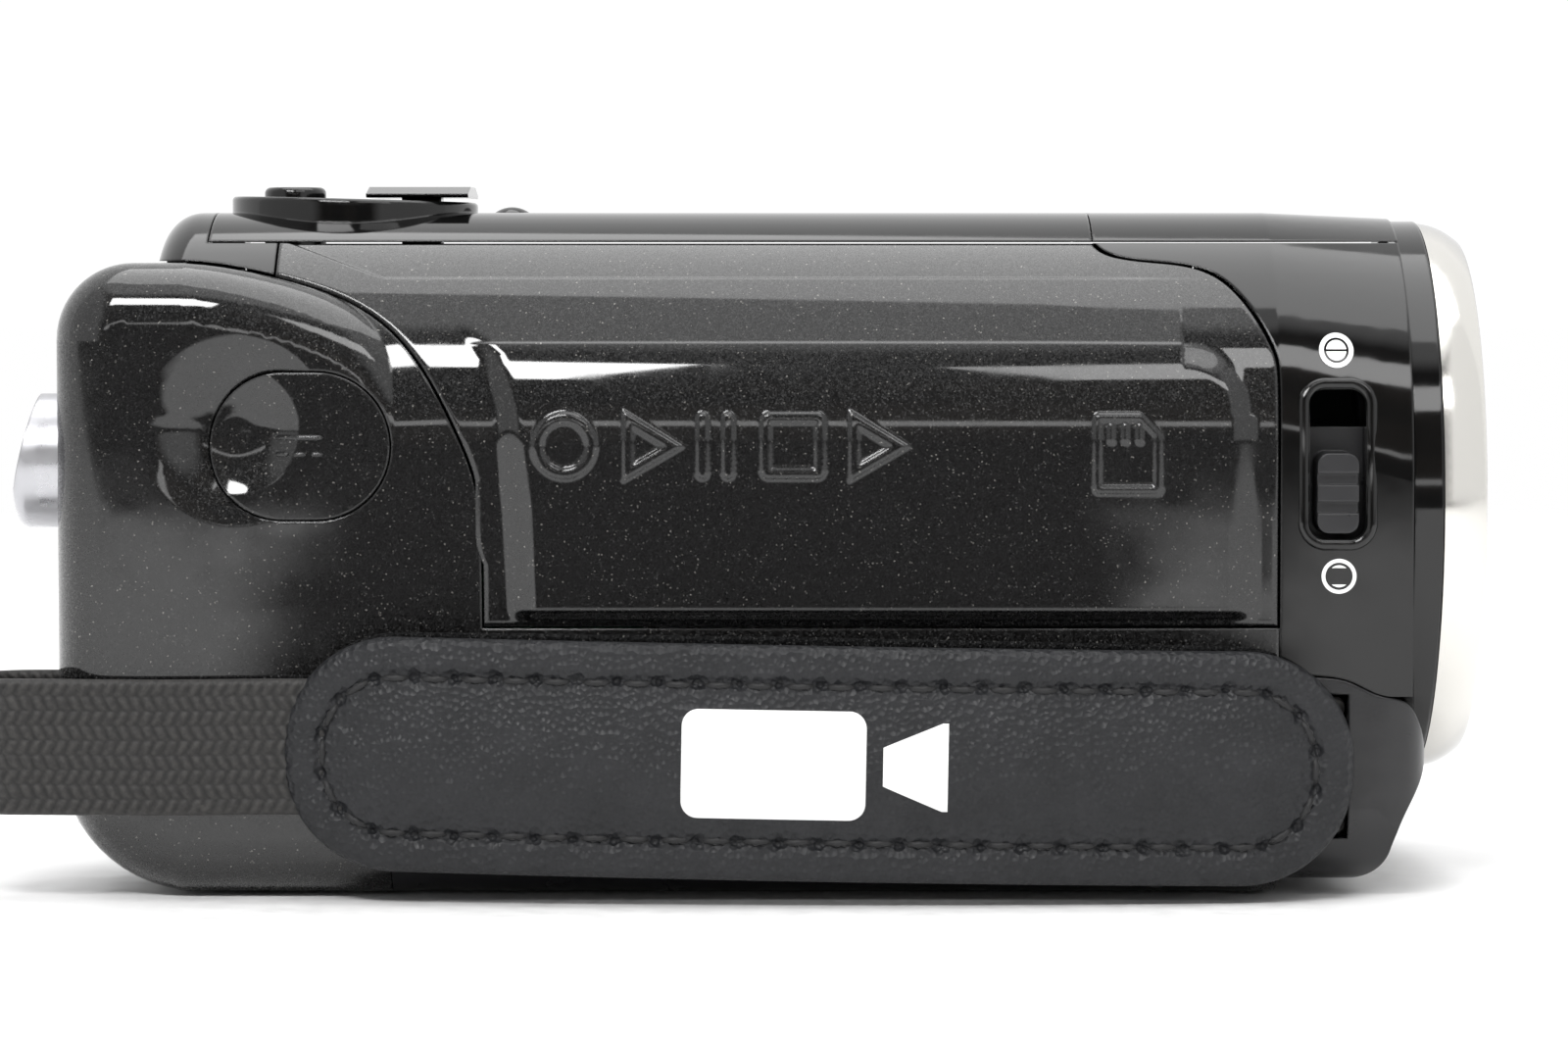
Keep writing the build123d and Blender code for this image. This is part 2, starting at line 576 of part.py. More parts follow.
keep("main_board", main_board())
keep("side_sockets", *[side_socket(*port) for port in BAY_PORTS])
keep("power_board", block(-53.0, -31.0, -8.6, -7.6, 9.0, 44.0))
keep("power_socket", power_socket())
keep("speaker", rod_z(6.4, -17.6, 7.2, 2.6, 5.6))
keep("card_socket", card_socket())
keep("microphones", *[rod_x(2.6, 42.4, 44.2, side * 7.0, 5.6) for side in (-1, 1)])
keep("tripod_nut", tripod_nut())


# ---- battery ------------------------------------------------------------------------------------
def battery():
    """Battery pack, rounded where it shows at the back."""
    b = BATTERY
    pack = block(b["x0"], b["x1"], b["y0"], b["y1"], b["z0"], b["z1"])
    return fillet(pack.faces().sort_by(Axis.X)[0].edges(), 1.8)


def battery_bay():
    """Sleeve round the battery's inner end, with slots for the contacts."""
    bay = (block(-45.0, -31.2, -6.6, 15.4, 4.9, 47.1) & cavity) - battery_space
    for n in range(4):
        bay -= block(-34, -30, 2.15 + 2.6 * n, 3.65 + 2.6 * n, 19.95, 32.05)
    return largest(bay)


def battery_latch():
    """Sliding latch with a ribbed thumb grip that shows in the base."""
    plate = block(LATCH["x0"] - 2.0, LATCH["x1"] + 2.0, LATCH["y0"] - 2.0, LATCH["y1"] + 2.0, 1.7, 2.7)
    plate += block(LATCH["x0"], LATCH["x1"], LATCH["y0"], LATCH["y1"], 0.3, 1.8)
    for step in (-0.9, 0.0, 0.9):
        middle = (LATCH["x0"] + LATCH["x1"]) / 2 + step
        plate -= block(middle - 0.2, middle + 0.2, LATCH["y0"] - 1, LATCH["y1"] + 1, 0.2, 0.6)
    return plate


keep("battery", battery())
keep("battery_bay", battery_bay())
keep("battery_contacts", *[block(-33.15, -30.9, 2.2 + 2.6 * n, 3.6 + 2.6 * n, 20, 32) for n in range(4)])
keep("battery_latch", battery_latch())


# ---- controls -----------------------------------------------------------------------------------
def snapshot_button():
    """Round button with a softened rim in the middle of the raised disc."""
    return fillet(rod_z(2.5, SHUTTER_X, 0, 50.6, 55.5).edges().group_by(Axis.Z)[-1], 0.5)


def zoom_lever():
    """Wide rocker that slides from side to side on a stem through the top cover."""
    outline = Polyline((-6.6, 54.6), (-7.0, 54.9), (-3.4, 55.5), (3.4, 55.5), (7.0, 54.9), (6.6, 54.6),
                       close=True)
    rocker = extrude(across(-33.6) * make_face(outline), amount=8.2)
    return rocker + block(-31.1, -27.9, -1.6, 1.6, 50.9, 54.7)


def start_stop_button():
    """Big round button at the back of the pod, its face leaning inwards towards the top."""
    press = rod_x(BUTTON_R, -60.6, -55.0, BUTTON_Y, BUTTON_Z)
    press = fillet(press.faces().sort_by(Axis.X)[0].edges(), 1.0)
    return press - Pos(-60.5, BUTTON_Y, BUTTON_Z - 2.0) * Rot(0, 13, 0) * Pos(-3, 0, 8) * Box(6, 20, 16)


def bay_button(x):
    """A round button behind the monitor."""
    return rod_y(2.45, x, 15.7, 17.4, BAY_BUTTON_Z)


keep("snapshot_button", snapshot_button())
keep("zoom_lever", zoom_lever())
keep("start_stop_button", start_stop_button())
keep("status_lamps", *[rod_x(0.8, -57.1, -54.0, y, 43.4) for y in (-13.5, -10.0)])
keep("power_button", bay_button(BAY_BUTTONS[0]))
keep("mode_button", bay_button(BAY_BUTTONS[1]))
keep("info_button", bay_button(BAY_BUTTONS[2]))


# ---- power-socket cover and card door -----------------------------------------------------------
def socket_cover():
    """Soft cover of the power socket, hollowed by the same scoop as the pod round it."""
    flap = capsule_plate(DC_X, DC_Z, DC_LONG - 0.3, DC_TALL - 0.3, 5.69, -HALF_WIDTH, -21.0)
    return flap - finger_scoop(0.6)


def card_door():
    """Door of the memory-card slot, with a knuckle along its inner edge."""
    door = block(DOOR["x0"], DOOR["x1"], DOOR["y0"], DOOR["y1"], 0.0, 1.2)
    door += rod_x(0.9, DOOR["x0"], DOOR["x1"], DOOR["y1"], 1.1) & block(-FAR, FAR, -FAR, FAR, 0.2, 3)
    return door - rod_x(0.45, -30, 30, DOOR["y1"], 1.1)


keep("socket_cover", socket_cover())
keep("card_door", card_door())
keep("card_door_pin", rod_x(0.4, DOOR["x0"] - 1.0, DOOR["x1"] + 1.0, DOOR["y1"], 1.1))


# ---- monitor ------------------------------------------------------------------------------------
notch = block(26.2, 32, 15, 24, 20.8, 39.9)
shaft_hole = rod_x(1.5, 20, 30, HINGE_Y, LENS_Z)


def monitor_slab(y0, y1, inset=0.0):
    """A slice of the monitor with rounded corners."""
    m = MONITOR
    face = Pos((m["x0"] + m["x1"]) / 2, (m["z0"] + m["z1"]) / 2) * RectangleRounded(
        m["x1"] - m["x0"] - 2 * inset, m["z1"] - m["z0"] - 2 * inset, 3.0 - inset / 2)
    return side_cut(face, y0, y1)


def screen_slab(long, tall, radius, y0, y1):
    """A rounded plate centred on the display."""
    return capsule_plate(SCREEN_X, SCREEN_Z, long, tall, radius, y0, y1)


def monitor_back():
    """Outer half of the monitor's case, hollowed for the display."""
    back = monitor_slab(19.9, MONITOR["y1"]) & main_outer
    back -= monitor_slab(19.0, 21.1, 1.3) & block(-FAR, 24.8, 0, FAR, 0, FAR)
    return largest(back - notch - shaft_hole)


def monitor_bezel():
    """Inner half of the monitor's case, a frame round the display."""
    window = screen_slab(61.0, 35.0, 0.6, 0, FAR)
    return largest(monitor_slab(MONITOR["y0"], 19.84) - window - notch - shaft_hole)


def monitor_hinge_arm():
    """Hinge block with the tube round its upright pin and the shaft that enters the monitor."""
    arm = rod_z(2.4, HINGE_X, HINGE_Y, 20.9, 39.8) + block(28.5, HINGE_X, 18.6, 21.6, 26.0, 34.7)
    arm += rod_x(1.4, 21.0, 29.0, HINGE_Y, LENS_Z)
    return arm - rod_z(0.95, HINGE_X, HINGE_Y, 10, 50)


keep("monitor_back", monitor_back())
keep("monitor_bezel", monitor_bezel())
keep("display_glass", screen_slab(60.8, 34.8, 0.5, 17.8, 18.6))
keep("backlight", screen_slab(60.4, 34.4, 0.5, 18.7, 20.6))
keep("monitor_hinge_arm", monitor_hinge_arm())
keep("monitor_hinge_pin", rod_z(0.9, HINGE_X, HINGE_Y, 18.4, 42.3))


# ---- hand strap ---------------------------------------------------------------------------------
PAD_LENGTH, PAD_HEIGHT, PAD_TILT = 83.0, 18.2, 1.0
PAD_X, PAD_Z = 2.7, 10.9  # middle of the pad
PAD_BOW = 290.0  # radius of the pad's outward bow, seen from above
PAD_OUTER_Y, PAD_THICK = -28.2, 2.8
WEB = 1.2  # webbing thickness

rear_path = [
    Line((-20.0, -25.35), (-38.0, -24.1)),
    Line((-38.0, -24.1), (-59.4, -24.1)),
    CenterArc((-59.4, -19.92), 4.18, 270, -180),
    Line((-59.4, -15.74), (REAR_BAR[0], -15.74)),
    CenterArc(REAR_BAR, 1.54, 270, 180),
]
front_path = [
    Line((26.0, -25.2), (38.0, -24.2)),
    Line((38.0, -24.2), (FRONT_BAR[0], FRONT_BAR[1] - 1.65)),
    CenterArc(FRONT_BAR, 1.65, 270, 180),
]


def bowed_layer(y_outer, thick):
    """A slice of a big upright tube whose outermost line is at y_outer."""
    centre_y = y_outer + PAD_BOW
    tube = rod_z(PAD_BOW, PAD_X, centre_y, 0, 30) - rod_z(PAD_BOW - thick, PAD_X, centre_y, -1, 31)
    return tube & block(-FAR, FAR, -FAR, 0, -1, FAR)


def band(edges, z0, z1, width=WEB):
    """Webbing that follows a plan-view path, standing from z0 to z1."""
    return extrude(Pos(0, 0, z0) * trace(Curve() + edges, line_width=width), amount=z1 - z0)


def grip_pad():
    """Padded hand strap, bowed outwards, with the webbing's ends let into its back."""
    face = Pos(PAD_X, PAD_Z) * Rot(0, 0, -PAD_TILT) * RectangleRounded(PAD_LENGTH, PAD_HEIGHT, 8.7)
    pad = bowed_layer(PAD_OUTER_Y, PAD_THICK) & side_cut(face, -FAR, 0)
    pad -= band(rear_path[:2], 6.6, 17.3, WEB + 0.1)
    pad -= band(front_path, 4.9, 15.6, WEB + 0.1)
    return largest(pad - block(-FAR, FAR, -22.6, 0, 0, 30))


def strap_bar(place, z0, z1):
    """Steel bar that the webbing loops round."""
    return rod_z(0.9, place[0], place[1], z0, z1)


def base_screw(x, y):
    """Pan-head screw that holds the base."""
    return rod_z(1.75, x, y, 0.15, 1.15) + rod_z(0.85, x, y, 1.1, 3.2)


keep("grip_pad", grip_pad())
keep("rear_webbing", band(rear_path, 6.7, 17.2))
keep("front_webbing", band(front_path, 5.0, 15.5))
keep("rear_strap_bar", strap_bar(REAR_BAR, 5.0, 18.9))
keep("front_strap_bar", strap_bar(FRONT_BAR, 4.7, 15.8))
keep("base_screws", *[base_screw(x, y) for x, y in SCREWS])

for name, shape in nodes.items():
    export_step(shape, f"parts/{name}.step")
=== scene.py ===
"""Looks for the pocket camcorder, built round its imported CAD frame. Metres; +X through the lens, +Z up."""
import json
import math

import bmesh
import bpy
import numpy as np
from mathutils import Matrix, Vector
from mathutils.bvhtree import BVHTree


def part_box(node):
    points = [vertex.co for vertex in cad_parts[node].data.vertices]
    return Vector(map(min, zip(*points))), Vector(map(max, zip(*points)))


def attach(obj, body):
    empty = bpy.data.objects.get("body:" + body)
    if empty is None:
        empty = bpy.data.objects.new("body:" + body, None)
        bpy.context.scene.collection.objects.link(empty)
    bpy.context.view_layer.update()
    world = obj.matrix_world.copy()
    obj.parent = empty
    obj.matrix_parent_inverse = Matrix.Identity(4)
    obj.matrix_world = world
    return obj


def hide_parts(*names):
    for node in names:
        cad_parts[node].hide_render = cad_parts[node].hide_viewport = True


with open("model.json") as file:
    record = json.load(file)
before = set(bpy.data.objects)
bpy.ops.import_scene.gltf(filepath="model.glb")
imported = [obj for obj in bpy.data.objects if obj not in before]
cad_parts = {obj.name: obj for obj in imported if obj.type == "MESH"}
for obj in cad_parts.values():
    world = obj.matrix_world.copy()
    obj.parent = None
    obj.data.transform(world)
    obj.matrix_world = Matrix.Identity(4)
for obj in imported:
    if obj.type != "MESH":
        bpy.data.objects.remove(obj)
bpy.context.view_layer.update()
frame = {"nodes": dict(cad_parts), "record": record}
nodes = frame["nodes"]
BODY = "camera_body"
MM = 0.001


# ---- materials ----------------------------------------------------------------------------------
def new_material(name):
    """A new node material, with its node tree and its shader."""
    mat = bpy.data.materials.new(name)
    mat.use_nodes = True
    tree = mat.node_tree
    shader = tree.nodes["Principled BSDF"]
    return mat, tree, shader


def add(tree, kind, inputs=None, **settings):
    """A node with its settings and its unlinked inputs filled in."""
    node = tree.nodes.new(kind)
    for key, value in settings.items():
        setattr(node, key, value)
    for key, value in (inputs or {}).items():
        node.inputs[key].default_value = value
    return node


def coords(tree):
    """Object coordinates, in metres."""
    return add(tree, "ShaderNodeTexCoord").outputs["Object"]


def noise(tree, scale, detail=3.0, rough=0.5):
    """Soft noise over the object's own coordinates, with scale cells per metre."""
    node = add(tree, "ShaderNodeTexNoise", {"Scale": scale, "Detail": detail, "Roughness": rough})
    tree.links.new(coords(tree), node.inputs["Vector"])
    return node.outputs["Fac"]


def remap(tree, source, low, high, start=0.0, end=1.0):
    """source between start and end, mapped to low..high."""
    node = add(tree, "ShaderNodeMapRange", {1: start, 2: end, 3: low, 4: high})
    tree.links.new(source, node.inputs[0])
    return node.outputs[0]


def maths(tree, operation, first, second):
    """A maths node over two sockets or numbers."""
    node = add(tree, "ShaderNodeMath", operation=operation)
    for number, value in enumerate((first, second)):
        if isinstance(value, (int, float)):
            node.inputs[number].default_value = value
        else:
            tree.links.new(value, node.inputs[number])
    return node.outputs[0]


def mix_colours(tree, factor, a, b):
    """Colour a where factor is 0, colour b where it is 1."""
    node = add(tree, "ShaderNodeMix", data_type="RGBA")
    node.inputs[6].default_value = (*a, 1)
    node.inputs[7].default_value = (*b, 1)
    tree.links.new(factor, node.inputs[0])
    return node.outputs[2]


EDGE = 0.00028  # radius that catches the light along moulded edges
TONE_SCALE, GLOSS_SCALE, WAVE_SCALE = 90.0, 400.0, 60.0  # cells per metre of uneven tone, gloss and flatness


def soft_edge(tree, radius=EDGE):
    """A normal that is rounded off near sharp edges."""
    return add(tree, "ShaderNodeBevel", {"Radius": radius}, samples=6).outputs["Normal"]


def bump(tree, shader, height, distance, strength=1.0, socket="Normal", base=None):
    """Feeds a height pattern into one of the shader's normal sockets, over a base normal if there is one."""
    node = add(tree, "ShaderNodeBump", {"Strength": strength, "Distance": distance})
    tree.links.new(height, node.inputs["Height"])
    if base is not None:
        tree.links.new(base, node.inputs["Normal"])
    tree.links.new(node.outputs["Normal"], shader.inputs[socket])
    return node


def plastic(name, dark, light, rough, grain=0.0, grain_scale=4000.0, wave=0.0, coat=0.0, metallic=0.0,
            edge=EDGE):
    """Moulded plastic or paint: uneven tone and gloss, with optional grain and slow waviness."""
    mat, tree, shader = new_material(name)
    tone = mix_colours(tree, noise(tree, TONE_SCALE), dark, light)
    tree.links.new(tone, shader.inputs["Base Color"])
    gloss = remap(tree, noise(tree, GLOSS_SCALE, 4.0), rough * 0.75, rough * 1.3, 0.3, 0.7)
    tree.links.new(gloss, shader.inputs["Roughness"])
    shader.inputs["Metallic"].default_value = metallic
    shader.inputs["Coat Weight"].default_value = coat
    shader.inputs["Coat Roughness"].default_value = 0.04
    rounded = soft_edge(tree, edge) if edge else None
    if grain:
        bump(tree, shader, noise(tree, grain_scale, 2.0), grain, base=rounded)
    else:
        bump(tree, shader, noise(tree, WAVE_SCALE, 1.0), wave, base=rounded)
    return mat


def flake_paint(name):
    """Gloss black with fine metal flakes under a clear coat."""
    mat, tree, shader = new_material(name)
    cells = add(tree, "ShaderNodeTexVoronoi", {"Scale": 9000.0})
    tree.links.new(coords(tree), cells.inputs["Vector"])
    split = add(tree, "ShaderNodeSeparateColor")
    tree.links.new(cells.outputs["Color"], split.inputs[0])
    flake = remap(tree, split.outputs[0], 0.0, 1.0, 0.984, 1.0)
    tone = mix_colours(tree, flake, (0.002, 0.002, 0.0022), (0.16, 0.155, 0.145))
    tree.links.new(tone, shader.inputs["Base Color"])
    tree.links.new(flake, shader.inputs["Metallic"])
    shader.inputs["Roughness"].default_value = 0.4
    shader.inputs["Specular IOR Level"].default_value = 0.15
    rounded = soft_edge(tree)
    centred = add(tree, "ShaderNodeVectorMath", operation="SUBTRACT")
    centred.inputs[1].default_value = (0.5, 0.5, 0.5)
    tree.links.new(cells.outputs["Color"], centred.inputs[0])
    tilt = add(tree, "ShaderNodeVectorMath", operation="MULTIPLY_ADD")
    tilt.inputs[1].default_value = (0.7, 0.7, 0.7)
    tree.links.new(centred.outputs[0], tilt.inputs[0])
    tree.links.new(rounded, tilt.inputs[2])
    facing = add(tree, "ShaderNodeVectorMath", operation="NORMALIZE")
    tree.links.new(tilt.outputs[0], facing.inputs[0])
    tree.links.new(facing.outputs[0], shader.inputs["Normal"])
    shader.inputs["Coat Weight"].default_value = 1.0
    shader.inputs["Coat IOR"].default_value = 1.55
    smear = remap(tree, noise(tree, 300.0, 4.0), 0.03, 0.09, 0.35, 0.75)
    tree.links.new(smear, shader.inputs["Coat Roughness"])
    bump(tree, shader, noise(tree, 45.0, 1.0), 0.00001, 1.0, "Coat Normal", rounded)
    return mat


def metal(name, colour, rough, scale=800.0):
    """Bare metal with a slightly uneven tone and gloss."""
    mat, tree, shader = new_material(name)
    tone = mix_colours(tree, noise(tree, 150.0), [c * 0.92 for c in colour], colour)
    tree.links.new(tone, shader.inputs["Base Color"])
    shader.inputs["Metallic"].default_value = 1.0
    gloss = remap(tree, noise(tree, scale, 4.0), rough * 0.7, rough * 1.4, 0.3, 0.7)
    tree.links.new(gloss, shader.inputs["Roughness"])
    return mat


def chrome(name):
    """Bright plating: a soft mirror with a creamy cast, and painted shade that darkens its colour towards the
    edges as the surface turns from view.
    """
    mat, tree, shader = new_material(name)
    rim = add(tree, "ShaderNodeLayerWeight", {"Blend": 0.35})
    # painted shade: the base colour goes dark by facing angle towards the turned edges
    painted_edge_shade = remap(tree, rim.outputs["Facing"], 0.0, 1.0, 0.55, 0.98)
    tint_and_edge_shade = mix_colours(tree, painted_edge_shade, (0.70, 0.685, 0.65), (0.16, 0.16, 0.165))
    tree.links.new(tint_and_edge_shade, shader.inputs["Base Color"])
    shader.inputs["Metallic"].default_value = 0.82
    tree.links.new(remap(tree, noise(tree, 500.0, 4.0), 0.08, 0.16, 0.3, 0.7), shader.inputs["Roughness"])
    return mat


def glass(name, colour):
    """Dark polished glass with a bluish coat."""
    mat, tree, shader = new_material(name)
    tone = mix_colours(tree, noise(tree, 60.0), colour, [min(1, c * 1.1) for c in colour])
    tree.links.new(tone, shader.inputs["Base Color"])
    shader.inputs["Roughness"].default_value = 0.02
    shader.inputs["Coat Weight"].default_value = 1.0
    shader.inputs["Coat Tint"].default_value = (0.75, 0.8, 1.0, 1)
    return mat


def leather(name):
    """Synthetic leather: pebbled fine grain over soft creases, with a slightly mottled finish."""
    mat, tree, shader = new_material(name)
    tone = mix_colours(tree, remap(tree, noise(tree, 220.0, 5.0, 0.6), 0, 1, 0.3, 0.7),
                       (0.009, 0.0095, 0.0108), (0.016, 0.0165, 0.0185))
    tree.links.new(tone, shader.inputs["Base Color"])
    tree.links.new(remap(tree, noise(tree, 900.0, 4.0), 0.42, 0.6, 0.3, 0.7), shader.inputs["Roughness"])
    shader.inputs["Specular IOR Level"].default_value = 0.34
    cells = add(tree, "ShaderNodeTexVoronoi", {"Scale": 1900.0}, feature="F1")
    tree.links.new(coords(tree), cells.inputs["Vector"])
    pebbles = bump(tree, shader, cells.outputs["Distance"], 0.00022, 0.9)
    folds = add(tree, "ShaderNodeBump", {"Strength": 0.8, "Distance": 0.0004})
    tree.links.new(noise(tree, 160.0, 3.0, 0.55), folds.inputs["Height"])
    tree.links.new(folds.outputs["Normal"], pebbles.inputs["Normal"])
    return mat


def yarn(name, dark, light):
    """Matt spun yarn with fine fibres, painted shade in the valleys between its yarns, and a little sheen at
    grazing angles.
    """
    mat, tree, shader = new_material(name)
    tone = mix_colours(tree, remap(tree, noise(tree, 2400.0, 3.0), 0, 1, 0.35, 0.65), dark, light)
    # painted shade: the colour darkens in the valleys between yarns, by pointiness
    point = add(tree, "ShaderNodeNewGeometry").outputs["Pointiness"]
    shade = mix_colours(tree, remap(tree, point, 0.0, 1.0, 0.44, 0.55), (0.12, 0.12, 0.12), (1.0, 1.0, 1.0))
    both = add(tree, "ShaderNodeMix", data_type="RGBA", blend_type="MULTIPLY")
    both.inputs[0].default_value = 1.0
    tree.links.new(tone, both.inputs[6])
    tree.links.new(shade, both.inputs[7])
    tree.links.new(both.outputs[2], shader.inputs["Base Color"])
    shader.inputs["Roughness"].default_value = 0.62
    shader.inputs["Sheen Weight"].default_value = 0.12
    shader.inputs["Sheen Roughness"].default_value = 0.4
    bump(tree, shader, noise(tree, 9000.0, 2.0), 0.00002, 0.6)
    return mat


MATERIALS = {
    "gloss_black": plastic("gloss_black", (0.003, 0.003, 0.003), (0.006, 0.006, 0.006), 0.07, wave=0.00003),
    "flake_black": flake_paint("flake_black"),
    "satin_black": plastic("satin_black", (0.006, 0.006, 0.007), (0.012, 0.012, 0.013), 0.22, grain=0.000004),
    "charcoal_plastic": plastic("charcoal_plastic", (0.012, 0.012, 0.013), (0.022, 0.022, 0.024), 0.36,
                                grain=0.00001),
    "bright_chrome": chrome("bright_chrome"),
    "satin_silver": plastic("satin_silver", (0.42, 0.42, 0.44), (0.52, 0.52, 0.54), 0.3, metallic=0.85),
    "steel": metal("steel", (0.5, 0.5, 0.52), 0.28),
    "zinc": metal("zinc", (0.55, 0.55, 0.56), 0.35),
    "gold_contact": metal("gold_contact", (0.85, 0.62, 0.25), 0.2),
    "circuit_board": plastic("circuit_board", (0.01, 0.06, 0.03), (0.015, 0.09, 0.04), 0.35, grain=0.00001),
    "clear_glass": glass("clear_glass", (0.02, 0.022, 0.035)),
    "screen_glass": glass("screen_glass", (0.008, 0.008, 0.009)),
    "white_diffuser": plastic("white_diffuser", (0.7, 0.7, 0.7), (0.78, 0.78, 0.78), 0.4),
    "pad_leather": leather("pad_leather"),
    "black_webbing": yarn("black_webbing", (0.012, 0.011, 0.0105), (0.030, 0.028, 0.026)),
}
MATERIALS["thread"] = yarn("thread", (0.003, 0.003, 0.0035), (0.007, 0.007, 0.008))
MATERIALS["white_print"] = plastic("white_print", (0.78, 0.78, 0.78), (0.85, 0.85, 0.85), 0.4, grain=0.000003,
                                   edge=0.0)
MATERIALS["black_lacquer"] = plastic("black_lacquer", (0.008, 0.008, 0.009), (0.014, 0.014, 0.015), 0.26)
LOOKS = {"monitor_hinge_arm": "black_lacquer"}  # nodes that look different from their substance
for sub in frame["record"]["subparts"]:
    look = LOOKS.get(sub["node"], sub["material_slot"])
    nodes[sub["node"]].data.materials.clear()
    nodes[sub["node"]].data.materials.append(MATERIALS[look])


# ---- mesh helpers -------------------------------------------------------------------------------
def grid_mesh(name, points, close_u=False, close_v=False):
    """A quad mesh over an array of points with shape (rows, columns, 3)."""
    rows, cols = points.shape[:2]
    index = np.arange(rows * cols).reshape(rows, cols)
    if close_u:
        index = np.vstack([index, index[:1]])
    if close_v:
        index = np.hstack([index, index[:, :1]])
    quads = np.stack([index[:-1, :-1], index[:-1, 1:], index[1:, 1:], index[1:, :-1]], -1).reshape(-1, 4)
    return quad_mesh(name, points.reshape(-1, 3), quads)


def quad_mesh(name, points, quads):
    """A new smooth-shaded object in the scene."""
    mesh = bpy.data.meshes.new(name)
    mesh.from_pydata(points.tolist(), [], quads.tolist())
    mesh.polygons.foreach_set("use_smooth", [True] * len(mesh.polygons))
    mesh.update()
    obj = bpy.data.objects.new(name, mesh)
    bpy.context.scene.collection.objects.link(obj)
    return obj


def finish_piece(obj, slot, body=BODY, hides=(), material=None):
    """Gives a piece its material and its body, and hides the CAD nodes it stands for."""
    obj.data.materials.append(material or MATERIALS[slot])
    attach(obj, body)
    if hides:
        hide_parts(*hides)
    return obj


def smooth(x, start, end):
    """0 before start, 1 after end, with a smooth turn between."""
    t = np.clip((x - start) / (end - start), 0.0, 1.0)
    return t * t * (3 - 2 * t)


def surface_spans(node, heights, outer):
    """Lowest and highest X at each height where a CAD node's outer surface runs; outer(y, z) picks it."""
    mesh = nodes[node].data
    mesh.calc_loop_triangles()
    co = np.array([v.co for v in mesh.vertices])
    tris = np.array([t.vertices for t in mesh.loop_triangles])
    edges = np.concatenate([tris[:, [0, 1]], tris[:, [1, 2]], tris[:, [2, 0]]])
    a, b = co[edges[:, 0]], co[edges[:, 1]]
    keep = outer(a[:, 1], a[:, 2]) & outer(b[:, 1], b[:, 2])
    a, b = a[keep], b[keep]
    spans = []
    for z in heights:
        crossing = (a[:, 2] - z) * (b[:, 2] - z) <= 0
        p, q = a[crossing], b[crossing]
        rise = np.where(np.abs(q[:, 2] - p[:, 2]) < 1e-12, 1.0, q[:, 2] - p[:, 2])
        t = np.clip((z - p[:, 2]) / rise, 0, 1)
        x = p[:, 0] + (q[:, 0] - p[:, 0]) * t
        spans.append((x.min(), x.max()))
    return np.array(spans)


# ---- hand-side panel ----------------------------------------------------------------------------
SIDE_Y, CORNER_R, CORNER_Z = -22.5 * MM, 18.0 * MM, 35.4 * MM


def side_point(s):
    """Point (y, z) and normal (ny, nz) of the body's hand side at a distance s up its section."""
    angle = np.clip((s - CORNER_Z) / CORNER_R, 0.0, None)
    y = SIDE_Y + CORNER_R * (1 - np.cos(angle))
    z = np.minimum(s, CORNER_Z) + CORNER_R * np.sin(angle)
    return y, z, -np.cos(angle), np.sin(angle)


def arc_height(z):
    """Distance up the section of the point at height z."""
    turned = CORNER_R * np.arcsin(np.clip((z - CORNER_Z) / CORNER_R, 0, 1))
    return np.where(z > CORNER_Z, CORNER_Z + turned, z)


def box_field(x, z, cx, cz, half_x, half_z, radius=0.0):
    """Signed distance to a rounded box, negative inside; all in millimetres."""
    dx, dz = np.abs(x - cx) - half_x + radius, np.abs(z - cz) - half_z + radius
    outside = np.hypot(np.maximum(dx, 0), np.maximum(dz, 0))
    return outside + np.minimum(np.maximum(dx, dz), 0) - radius


def ring_field(x, z, cx, cz, radius, half_width):
    """Signed distance to a ring."""
    return np.abs(np.hypot(x - cx, z - cz) - radius) - half_width


def play_field(x, z, cx, cz, size):
    """Signed distance to a triangle that points forwards."""
    dx, dz = x - cx, np.abs(z - cz)
    return np.maximum(dx * 0.5 + dz * 0.866 - size * 0.5, -dx - size * 0.5)


SYMBOL_Z, SYMBOL_RISE, SYMBOL_REACH = 35.2, 0.24, 4.0  # the moulded symbols' middle, height and half extent
CARD_X, CARD_Z, CARD_CUT = 26.6, 34.6, 4.0  # the memory-card outline and where its corner is cut off
OUTLINE, OUTLINE_HALF = 0.3, 0.4  # how far in a symbol's outline lies, and half its width


def outline(field):
    """An outline in place of a filled shape."""
    return np.abs(field + OUTLINE) - OUTLINE_HALF


def raised_marks(x, z):
    """Height of plain control symbols and a plain memory-card outline moulded into the panel."""
    card = np.maximum(box_field(x, z, CARD_X, CARD_Z, 2.6, 3.0, 0.4), (x - CARD_X) + (z - CARD_Z) - CARD_CUT)
    marks = [ring_field(x, z, -17.0, SYMBOL_Z, 2.1, 0.42), outline(play_field(x, z, -10.9, SYMBOL_Z, 2.9)),
             outline(box_field(x, z, 0.7, SYMBOL_Z, 2.4, 2.4, 0.5)),
             outline(play_field(x, z, 6.6, SYMBOL_Z, 2.9)), np.abs(card + 0.25) - 0.3]
    marks += [box_field(x, z, bar_x, SYMBOL_Z, 0.45, 2.5, 0.4) for bar_x in (-6.3, -4.3)]
    marks += [box_field(x, z, 25.3 + 1.1 * n, 36.2, 0.22, 0.75, 0.2) for n in range(3)]
    nearest = np.min(marks, axis=0)
    return SYMBOL_RISE * (1 - smooth(nearest, -0.22, 0.16))


FIELD_FRONT, FIELD_TOP, FIELD_CORNER = 37.0, 43.5, 6.0  # the raised field's front edge, top and corner radius
FIELD_RISE = 0.85


